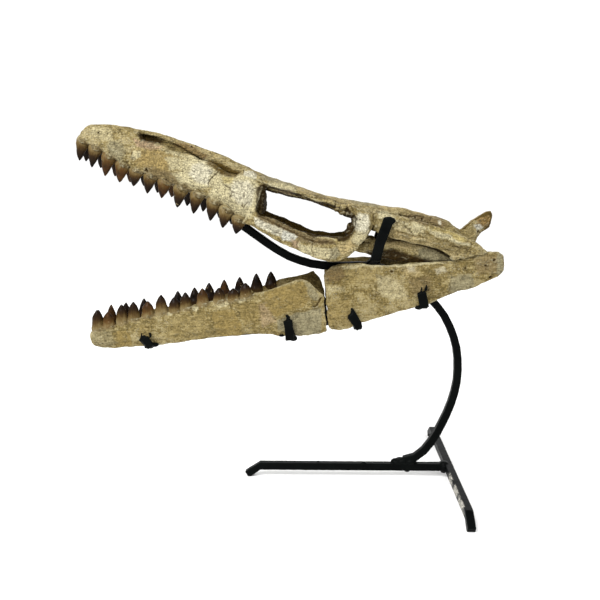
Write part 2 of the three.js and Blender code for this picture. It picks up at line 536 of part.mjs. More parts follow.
// ---------------------------------------------------------------- stand: base
/** Straight base bar with each bent end cut level on the floor. */
function baseBar(points) {
  const along = points[1].clone().sub(points[0]);
  const wide = Math.abs(along.x) > Math.abs(along.y)
    ? new THREE.Vector3(0, 1, 0) : new THREE.Vector3(1, 0, 0);
  const rings = points.map((point, i) => {
    const before = points[Math.max(i - 1, 0)];
    const after = points[Math.min(i + 1, points.length - 1)];
    const run = after.clone().sub(before).normalize();
    const up = new THREE.Vector3().crossVectors(run, wide).normalize();
    if (up.z < 0) up.negate();
    return [[1, 1], [-1, 1], [-1, -1], [1, -1]].map(([w, u]) => point.clone()
      .addScaledVector(wide, (w * BAR) / 2).addScaledVector(up, (u * BAR) / 2));
  });
  const floor = new THREE.BoxGeometry(SEAM_REACH, SEAM_REACH, SEAM_REACH);
  const underFloor = solid(floor, new THREE.Matrix4().makeTranslation(0, 0, -SEAM_REACH / 2));
  return solid(loft(rings)).subtract(underFloor);
}
const longBar = baseBar([
  new THREE.Vector3(LONG_BAR_END_X, 0, FOOT_END_Z),
  new THREE.Vector3(LONG_BAR_END_X + FOOT_DROP, 0, BASE_HEIGHT),
  new THREE.Vector3(CROSS_BAR_X - BAR / 2 - GAP, 0, BASE_HEIGHT),
]);
const crossBar = baseBar([
  new THREE.Vector3(CROSS_BAR_X, -CROSS_BAR_REACH, FOOT_END_Z),
  new THREE.Vector3(CROSS_BAR_X, FOOT_DROP - CROSS_BAR_REACH, BASE_HEIGHT),
  new THREE.Vector3(CROSS_BAR_X, CROSS_BAR_REACH - FOOT_DROP, BASE_HEIGHT),
  new THREE.Vector3(CROSS_BAR_X, CROSS_BAR_REACH, FOOT_END_Z),
]);
const longBarRoom = solid(new THREE.BoxGeometry(400, BAR + 2 * GAP, BAR + 2 * GAP),
  new THREE.Matrix4().makeTranslation(0, 0, BASE_HEIGHT));
const footBeads = union([-7, 3].map((shift) => bead(POST_FOOT_X + shift, 0, 19.6, 8, 6.6, 3.6)));
const postWithWeld = without(union([post, footBeads]), [longBarRoom]);

// ---------------------------------------------------------------- stand: jaw cradle
// Four straps pass under both jaws and hook up their outer sides; a rail joins them to the post.
const CRADLES = [
  { x: -167, topX: -174.5, top: 180.5 }, { x: 3, topX: -1.5, top: 204 },
  { x: 80.5, topX: 73, top: 214 }, { x: 155, topX: 151.5, top: 240 },
];
const HOOK_STAND_OFF = 8.9; // strap centre's distance out from the jaw's centre line
const RAIL_LIFT = (STRAP_THICKNESS + RAIL_SIZE) / 2 + GAP;
const jawRows = [...DENTARY_ROWS, ...DENTARY_CORNERS.left, ...HIND_JAW_ROWS];
const strapHeight = (x) => {
  const lowest = Math.min(...[-1, 0, 1].map((k) => heightAt(jawRows, x + (k * STRAP_WIDTH) / 2, 2)));
  return lowest - GAP - STRAP_THICKNESS / 2;
};

const cradleRoom = [];
CRADLES.forEach(({ x, topX, top }, i) => {
  const low = strapHeight(x);
  const out = jawLine(x) + HOOK_STAND_OFF;
  const hook = [[topX, out, top], [x, out, low + 5], [x, out - 1.6, low + 1.2], [x, out - 5, low]];
  const path = [
    ...hook.map(([px, py, pz]) => new THREE.Vector3(px, -py, pz)),
    ...hook.reverse().map(([px, py, pz]) => new THREE.Vector3(px, py, pz)),
  ];
  const pins = [LEFT, RIGHT].map((side) => solid(limb([
    [topX - 1, out, top - 2, PIN_RADIUS], [topX + 0.6, out, top + 5.4, PIN_RADIUS],
  ], { side, sides: 4 })));
  cradleRoom.push(solid(strap(path, STRAP_WIDTH, STRAP_THICKNESS, GAP)));
  const cradle = union([solid(strap(path, STRAP_WIDTH, STRAP_THICKNESS)), ...pins]);
  stand.add(node(`stand_jaw_strap_${i + 1}`, cradle, blackPaint));
});

const railLine = CRADLES.map(({ x }) => [x, strapHeight(x) + RAIL_LIFT]);
const railPath = [[-174, railLine[0][1] - 0.6], ...railLine, [172, railLine[3][1] + 3]];
const railRibs = upright(railPath.map(([x, z]) =>
  [x, z + RAIL_SIZE / 2, z - RAIL_SIZE / 2, 0, RAIL_SIZE / 2, 1]));
const rail = solid(ribbed(railRibs, { sides: 8, power: 6 }));

// ---------------------------------------------------------------- stand: skull clamp
// One strap each side leaves the arm, passes between the jaw and the skull and grips the cheek.
const CLAMP_LINE = [
  [96.7, BAR / 2 + 1.3, 266], [97.6, 14, 269.8], [99, 27, 273.4], [100.2, 35.4, 275.8],
  [101.6, 41.4, 284.6], [104.2, 46.6, 297], [108, 49.6, 308], [111.4, 50, 318], [112.8, 48.6, 322.6],
];
for (const [name, side] of SIDES) {
  const shift = new THREE.Vector3(...(side === RIGHT ? RIGHT_CLAMP_SHIFT : [0, 0, 0]));
  const path = CLAMP_LINE.map(([x, y, z]) => new THREE.Vector3(x, side * y, z).add(shift));
  const clamp = solid(strap(path, CLAMP_WIDTH, STRAP_THICKNESS + 0.6));
  stand.add(node(`stand_clamp_${name}`, without(clamp, [solid(postRoom)]), blackPaint));
}
stand.add(
  node('stand_long_bar', longBar, blackPaint),
  node('stand_cross_bar', crossBar, blackPaint),
  node('stand_post', postWithWeld, blackPaint),
  node('stand_jaw_rail', without(rail, [solid(postRoom), ...cradleRoom]), blackPaint),
);

// Stand the model on the floor, midway along its length.
const extent = new THREE.Box3().setFromObject(model);
model.position.x = -(extent.min.x + extent.max.x) / 2;

export default model;
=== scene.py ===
"""A fossil mosasaur skull with its lower jaws, on the welded steel stand that carries it.

Every bone is cast again from its solid as a fine skin, then weathered, cracked, given stains and
darkened with painted shade where it is shut in and where it turns inwards. One crown is modelled
and copied into its sockets, and the stand is fused with its weld beads.
The snout points to -X, the animal's left side faces -Y and the feet stand on z = 0.
"""

from __future__ import annotations

import itertools
import logging
import math
from collections.abc import Iterable, Sequence
from dataclasses import dataclass, field
from enum import Enum
from functools import cache

import bpy
import numpy as np
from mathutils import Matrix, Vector
from mathutils.bvhtree import BVHTree


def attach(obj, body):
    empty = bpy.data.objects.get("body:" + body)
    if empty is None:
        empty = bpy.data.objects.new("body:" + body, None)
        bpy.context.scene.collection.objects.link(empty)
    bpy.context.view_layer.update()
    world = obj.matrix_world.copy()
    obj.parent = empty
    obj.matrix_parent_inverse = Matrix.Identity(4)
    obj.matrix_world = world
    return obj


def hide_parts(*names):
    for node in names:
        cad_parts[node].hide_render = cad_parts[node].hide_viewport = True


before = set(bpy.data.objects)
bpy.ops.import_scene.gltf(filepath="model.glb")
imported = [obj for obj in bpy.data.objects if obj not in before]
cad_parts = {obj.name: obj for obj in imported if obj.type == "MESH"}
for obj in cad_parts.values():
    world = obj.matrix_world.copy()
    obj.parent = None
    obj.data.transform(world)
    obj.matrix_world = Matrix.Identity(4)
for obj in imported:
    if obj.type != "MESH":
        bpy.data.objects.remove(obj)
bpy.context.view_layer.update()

log = logging.getLogger("mosasaur")

MM = 0.001
LEFT = -1
RIGHT = 1
SIDES = {"left": LEFT, "right": RIGHT}
CAD_SHIFT = 3.5293  # how far the model was moved along X to stand over the origin, mm
ROOT = "root"

Pair = tuple[float, float]
Triple = tuple[float, float, float]
Quad = tuple[float, float, float, float]
Outline = tuple[Pair, ...]
Setting = float | int | bool | tuple | bpy.types.NodeSocket
Sockets = dict[str, bpy.types.NodeSocket]


# ---------------------------------------------------------------- colours and nodes
def linear(hex_colour: str) -> Quad:
    """Turn an sRGB hex colour into linear light.

    Args:
        hex_colour: "#RRGGBB".

    Returns:
        Red, green, blue and a full alpha, as shader sockets take them.
    """
    shares = [int(hex_colour[i : i + 2], 16) / 255 for i in (1, 3, 5)]
    lit = [c / 12.92 if c <= 0.04045 else ((c + 0.055) / 1.055) ** 2.4 for c in shares]
    return lit[0], lit[1], lit[2], 1.0


# Inputs by number: a Math node's values are 0 to 2. MapRange turns its value 0 from the range 1 to 2
# into the range 3 to 4. Mix takes the share 0 of its colour 7 and the rest of its colour 6.
def wire(tree: bpy.types.NodeTree, node: bpy.types.Node, inputs: dict[str | int, Setting]) -> None:
    """Set or link a node's inputs.

    Args:
        tree: The material's node tree.
        node: The node.
        inputs: A value or an output socket for each input, by name or number.
    """
    for name, value in inputs.items():
        if isinstance(value, bpy.types.NodeSocket):
            tree.links.new(value, node.inputs[name])
        else:
            node.inputs[name].default_value = value


def add_node(
    tree: bpy.types.NodeTree, kind: str, inputs: dict[str | int, Setting] | None = None, **settings: object
) -> bpy.types.Node:
    """Add one shader node.

    Args:
        tree: The material's node tree.
        kind: The node's type name, without its ShaderNode prefix.
        inputs: A value or an output socket for each input, by name or number.
        **settings: Properties of the node itself.

    Returns:
        The node.
    """
    node = tree.nodes.new("ShaderNode" + kind)
    for name, value in settings.items():
        setattr(node, name, value)
    wire(tree, node, inputs or {})
    return node


def weighted_sum(
    tree: bpy.types.NodeTree, total: Setting, terms: Iterable[tuple[bpy.types.NodeSocket, float]]
) -> Setting:
    """Add up patterns, each by its own weight.

    Args:
        tree: The material's node tree.
        total: What the sum starts from.
        terms: Each pattern's output with its weight.

    Returns:
        The sum's output.
    """
    for value, weight in terms:
        total = add_node(tree, "Math", {0: value, 1: weight, 2: total}, operation="MULTIPLY_ADD").outputs[0]
    return total


def laid_over(
    tree: bpy.types.NodeTree, colour: Setting, layers: Iterable[tuple[Setting, Setting]]
) -> Setting:
    """Lay colours over one another.

    Args:
        tree: The material's node tree.
        colour: The lowest colour.
        layers: How much of each layer shows, with its colour, from the lowest up.

    Returns:
        The output of the colour that is left to see.
    """
    for amount, over in layers:
        colour = add_node(tree, "Mix", {0: amount, 6: colour, 7: over}, data_type="RGBA").outputs[2]
    return colour


def new_material(name: str) -> tuple[bpy.types.Material, bpy.types.NodeTree, bpy.types.Node]:
    """Make an empty material.

    Args:
        name: Its name.

    Returns:
        The material, its node tree and its shader.
    """
    material = bpy.data.materials.new(name)
    material.use_nodes = True
    return material, material.node_tree, material.node_tree.nodes["Principled BSDF"]


def set_stops(node: bpy.types.Node, stops: Iterable[tuple[float, str]]) -> None:
    """Give a colour ramp its colours.

    Args:
        node: The colour ramp.
        stops: Each place from 0 to 1 with its hex colour, in order.
    """
    elements = node.color_ramp.elements
    elements.remove(elements[1])
    for index, (place, colour) in enumerate(stops):
        stop = elements[0] if index == 0 else elements.new(place)
        stop.position, stop.color = place, linear(colour)


def scale_of(size: float) -> float:
    """A pattern's scale, worked out from the size of its cells in millimetres."""
    return 1000 / size


class Tint(Enum):
    """Colours that the bone, its plaster and its dirt take, and the browns of painted shade."""

    CREAM = "#E0D5AE"
    IVORY = "#F0EAD4"
    CHALK = "#E8E7DC"
    BUFF = "#C2AF80"
    WARM = "#B19A65"
    YELLOW = "#CDBB7E"
    TAN = "#AC9966"
    OLIVE = "#8E7E54"
    DUSK = "#877655"
    OCHRE = "#A48F5A"
    GREY = "#A89F80"
    MAUVE = "#93805C"
    PINK = "#BFA586"
    RUST = "#8A6B48"
    AMBER = "#98753F"
    BROWN = "#655020"
    UMBER = "#3A2A0C"


# ---------------------------------------------------------------- noise and distances
TILT = np.array([[0.36, 0.48, -0.8], [-0.8, 0.6, 0.0], [0.48, 0.64, 0.6]])  # turns noise off the axes
HASH_STEPS = (73856093, 19349663, 83492791)  # large primes, which spread whole numbers evenly
HASH_SEED_STEP = 2654435761
HASH_MIXERS = ((15, 2246822519), (13, 3266489917))
LOW_BITS = 0xFFFFFFFF


def scrambled(corner: np.ndarray, seed: int) -> np.ndarray:
    """Give each lattice corner its own fixed number.

    Args:
        corner: Whole-numbered corners, one row each.
        seed: Which set of numbers to draw from.

    Returns:
        One number from 0 to 1 per corner.
    """
    mixed = np.full(len(corner), seed * HASH_SEED_STEP % 2**31, np.int64)
    for axis, step in enumerate(HASH_STEPS):
        mixed ^= corner[:, axis] * step
    mixed &= LOW_BITS
    for shift, factor in HASH_MIXERS:
        mixed = ((mixed ^ (mixed >> shift)) * factor) & LOW_BITS
    return ((mixed ^ (mixed >> 16)) & 0xFFFFFF) / 0xFFFFFF


def lattice_noise(points: np.ndarray, cell: float, seed: int) -> np.ndarray:
    """Smooth noise, one value per point.

    Args:
        points: Places in millimetres.
        cell: Size of its lumps in millimetres.
        seed: Which noise.

    Returns:
        Values from -1 to 1.
    """
    place = points @ TILT.T / cell
    corner = np.floor(place).astype(np.int64)
    part = place - corner
    ease = part**3 * (part * (part * 6 - 15) + 10)
    total = np.zeros(len(points))
    for step in itertools.product((0, 1), repeat=3):
        share = np.where(np.array(step) == 1, ease, 1 - ease).prod(axis=1)
        total += scrambled(corner + step, seed) * share
    return total * 2 - 1


def layered_noise(points: np.ndarray, cell: float, seed: int) -> np.ndarray:
    """Noise with noise of half its size on it.

    Args:
        points: Places in millimetres.
        cell: Size of its larger lumps in millimetres.
        seed: Which noise.

    Returns:
        Values around 0, mostly within -1 to 1.
    """
    parts = [lattice_noise(points, cell / 2**k, seed + 17 * k) / 2**k for k in range(2)]
    return np.sum(parts, axis=0)


def plate_edges(points: np.ndarray, cell: float, seed: int) -> np.ndarray:
    """Distance from the cracks between irregular plates.

    Args:
        points: Places in millimetres.
        cell: Typical size of a plate in millimetres.
        seed: Which set of plates.

    Returns:
        Zero on a crack and growing inwards, in millimetres.
    """
    place = points @ TILT.T / cell
    corner = np.floor(place).astype(np.int64)
    nearest = np.full(len(points), 9.0)
    second = nearest.copy()
    for step in itertools.product((-1, 0, 1), repeat=3):
        key = corner + step
        heart = key + np.stack([scrambled(key, seed + k) for k in range(3)], axis=1)
        away = np.linalg.norm(place - heart, axis=1)
        second = np.minimum(second, np.maximum(nearest, away))
        nearest = np.minimum(nearest, away)
    return (second - nearest) * cell


def ramp(values: np.ndarray, low: float, high: float) -> np.ndarray:
    """Rise smoothly from 0 at low to 1 at high, or fall where low is the larger."""
    share = np.clip((values - low) / (high - low), 0, 1)
    return share * share * (3 - 2 * share)


def outline_distance(at: np.ndarray, outline: Outline) -> np.ndarray:
    """Signed distance from a closed outline.

    Args:
        at: Points of a plane, one row each.
        outline: The outline's corners.

    Returns:
        Distances, negative inside.
    """
    closed = outline + outline[:1]
    inside = np.zeros(len(at), bool)
    for (x1, z1), (x2, z2) in itertools.pairwise(closed):
        if z1 != z2:
            reach = (x2 - x1) * (at[:, 1] - z1) / (z2 - z1) + x1
            inside ^= ((z1 > at[:, 1]) != (z2 > at[:, 1])) & (at[:, 0] < reach)
    away = line_distance(at, closed)
    return np.where(inside, -away, away)


def line_distance(at: np.ndarray, line: Outline) -> np.ndarray:
    """Distance from an open line of straight pieces.

    Args:
        at: Points of a plane, one row each.
        line: The line's points.

    Returns:
        One distance per point.
    """
    best = np.full(len(at), np.inf)
    for start, end in itertools.pairwise(np.array(line, float)):
        run = end - start
        share = np.clip((at - start) @ run / max(run @ run, 1e-9), 0, 1)
        best = np.minimum(best, np.linalg.norm(at - start - share[:, None] * run, axis=1))
    return best


# ---------------------------------------------------------------- modelling
def deselect() -> None:
    """Select nothing, so that the next operator acts only on what it is given."""
    bpy.ops.object.select_all(action="DESELECT")


def gather(pieces: Sequence[bpy.types.Object]) -> bpy.types.Object:
    """Join objects into one.

    Args:
        pieces: The objects, the one that is kept first.

    Returns:
        The first object, which now holds all of them.
    """
    deselect()
    for piece in pieces:
        piece.select_set(True)
    bpy.context.view_layer.objects.active = pieces[0]
    if len(pieces) > 1:
        bpy.ops.object.join()
    return pieces[0]


def copy_of(node: str) -> bpy.types.Object:
    """Copy a CAD node's solid into an object of its own.

    Args:
        node: The node's name.

    Returns:
        The copy, with its doubled points merged.
    """
    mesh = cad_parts[node].data.copy()
    mesh.materials.clear()
    piece = bpy.data.objects.new("copy_" + node, mesh)
    bpy.context.scene.collection.objects.link(piece)
    gather([piece])
    bpy.ops.object.mode_set(mode="EDIT")
    bpy.ops.mesh.select_all(action="SELECT")
    bpy.ops.mesh.remove_doubles(threshold=1e-6)
    bpy.ops.object.mode_set(mode="OBJECT")
    return piece


def apply_modifier(piece: bpy.types.Object, kind: str, **settings: object) -> None:
    """Put a modifier on an object and apply it.

    Args:
        piece: The object.
        kind: The modifier's type.
        **settings: The modifier's properties.
    """
    modifier = piece.modifiers.new(kind.lower(), kind)
    for name, value in settings.items():
        setattr(modifier, name, value)
    bpy.context.view_layer.objects.active = piece
    bpy.ops.object.modifier_apply(modifier=modifier.name)


def settle() -> bpy.types.Object:
    """Apply the place, turn and scale of the object that was just added, and give it back."""
    bpy.ops.object.transform_apply(location=True, rotation=True, scale=True)
    return bpy.context.object


@dataclass(frozen=True)
class Lump:
    """One rounded lump that is fused with what it lies on: its place and its radii in millimetres."""

    place: Triple
    radii: Triple

    def build(self) -> bpy.types.Object:
        """Model the lump."""
        deselect()
        bpy.ops.mesh.primitive_ico_sphere_add(
            subdivisions=3, radius=MM, location=tuple(v * MM for v in self.place), scale=self.radii
        )
        return settle()

    def mirrored(self) -> Lump:
        """The same lump on the other side."""
        x, y, z = self.place
        return Lump((x, -y, z), self.radii)


@dataclass(frozen=True)
class Plate:
    """One flat strip of steel: its middle, its sizes in millimetres and its lean in degrees."""

    place: Triple
    size: Triple
    lean: float

    def build(self) -> bpy.types.Object:
        """Model the strip."""
        deselect()
        bpy.ops.mesh.primitive_cube_add(
            size=MM,
            location=tuple(v * MM for v in self.place),
            rotation=(0, math.radians(self.lean), 0),
            scale=self.size,
        )
        return settle()


def cast(name: str, solids: Sequence[bpy.types.Object], voxel: float, swell: float) -> bpy.types.Object:
    """Fuse solids under one fine, even skin.

    Args:
        name: Name of the fused piece.
        solids: Closed objects, which are used up.
        voxel: Size of the skin's faces in millimetres.
        swell: How far each solid grows first, so that narrow gaps close, in millimetres.

    Returns:
        The fused piece.
    """
    piece = gather(solids)
    piece.name = piece.data.name = name
    apply_modifier(piece, "DISPLACE", strength=swell * MM, mid_level=0.0)
    apply_modifier(piece, "REMESH", mode="VOXEL", voxel_size=voxel * MM, use_smooth_shade=True)
    return piece


def show(piece: bpy.types.Object, material: bpy.types.Material, nodes: Iterable[str]) -> None:
    """Dress a finished piece and put it in place of the nodes that it stands for.

    Args:
        piece: The finished piece.
        material: Its finish.
        nodes: Names of the CAD nodes.
    """
    piece.data.materials.clear()
    piece.data.materials.append(material)
    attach(piece, ROOT)
    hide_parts(*nodes)
    faces = sum(len(p.vertices) - 2 for p in piece.data.polygons)
    log.info("%-22s %7d triangles for %s", piece.name, faces, ", ".join(nodes))


class Skin:
    """The points of one fine mesh, in millimetres, for shaping and painting them one by one."""

    EASE_IN = 0.5
    EASE_OUT = -0.526  # a little more than was taken in, so that nothing shrinks

    def __init__(self, piece: bpy.types.Object) -> None:
        """Read the piece's points and which of them are neighbours."""
        self.piece = piece
        mesh = piece.data
        self.count = len(mesh.vertices)
        flat = np.empty(self.count * 3, np.float32)
        mesh.vertices.foreach_get("co", flat)
        self.points = flat.reshape(-1, 3).astype(float) / MM
        ends = np.empty(len(mesh.edges) * 2, np.int32)
        mesh.edges.foreach_get("vertices", ends)
        self.ends = ends.reshape(-1, 2)
        self.valence = np.maximum(np.bincount(ends, minlength=self.count), 1)

    def averaged(self, values: np.ndarray) -> np.ndarray:
        """Give each point the mean of its neighbours' values."""
        one, other = self.ends.T
        columns = values.reshape(self.count, -1).T
        sums = [
            np.bincount(one, column[other], self.count) + np.bincount(other, column[one], self.count)
            for column in columns
        ]
        return (np.stack(sums, axis=1) / self.valence[:, None]).reshape(values.shape)

    def ease(self, rounds: int) -> None:
        """Round off facets and steps without shrinking the shape."""
        for _ in range(rounds):
            for share in (self.EASE_IN, self.EASE_OUT):
                self.points = self.points + share * (self.averaged(self.points) - self.points)

    def blur(self, values: np.ndarray, rounds: int) -> np.ndarray:
        """Spread values over the surface."""
        for _ in range(rounds):
            values = (values + self.averaged(values)) / 2
        return values

    def normals(self) -> np.ndarray:
        """Write the points back and give their outward directions."""
        mesh = self.piece.data
        mesh.vertices.foreach_set("co", (self.points * MM).astype(np.float32).ravel())
        mesh.update()
        flat = np.empty(self.count * 3, np.float32)
        mesh.vertices.foreach_get("normal", flat)
        return flat.reshape(-1, 3).astype(float)

    def push(self, distance: np.ndarray) -> None:
        """Move each point outwards by its own distance in millimetres."""
        self.points = self.points + self.normals() * distance[:, None]

    def hollow(self, rounds: int) -> np.ndarray:
        """How far each point lies under its surroundings, in millimetres; ridges are negative."""
        around = self.points
        for _ in range(rounds):
            around = self.averaged(around)
        return ((around - self.points) * self.normals()).sum(axis=1)

    def paint(self, name: str, colours: np.ndarray) -> None:
        """Store four values at each point for the material to read."""
        attribute = self.piece.data.color_attributes.new(name, "FLOAT_COLOR", "POINT")
        attribute.data.foreach_set("color", colours.astype(np.float32).ravel())


# ---------------------------------------------------------------- what is drawn on the bone
@dataclass(frozen=True)
class Patch:
    """One patch of stains, plaster fill or painted shade.

    Its outline is given in the side view of the left side, x and z in millimetres. An inner one
    only takes on faces that turn in, such as the walls of an opening.
    """

    tint: Tint
    cover: float
    edge: float
    outline: Outline
    inner: bool = False


@dataclass(frozen=True)
class Crack:
    """One crack along a line in the side view, with its half width and depth in millimetres.

    One of negative depth is a ridge.
    """

    width: float
    depth: float
    line: Outline


@dataclass(frozen=True)
class Pit:
    """One round hole in the side view, with its radius and depth in millimetres."""

    radius: float
    depth: float
    place: Pair


@dataclass(frozen=True)
class Marks:
    """All that is drawn on one part of the skull."""

    patches: tuple[Patch, ...]
    cracks: tuple[Crack, ...]
    pits: tuple[Pit, ...]


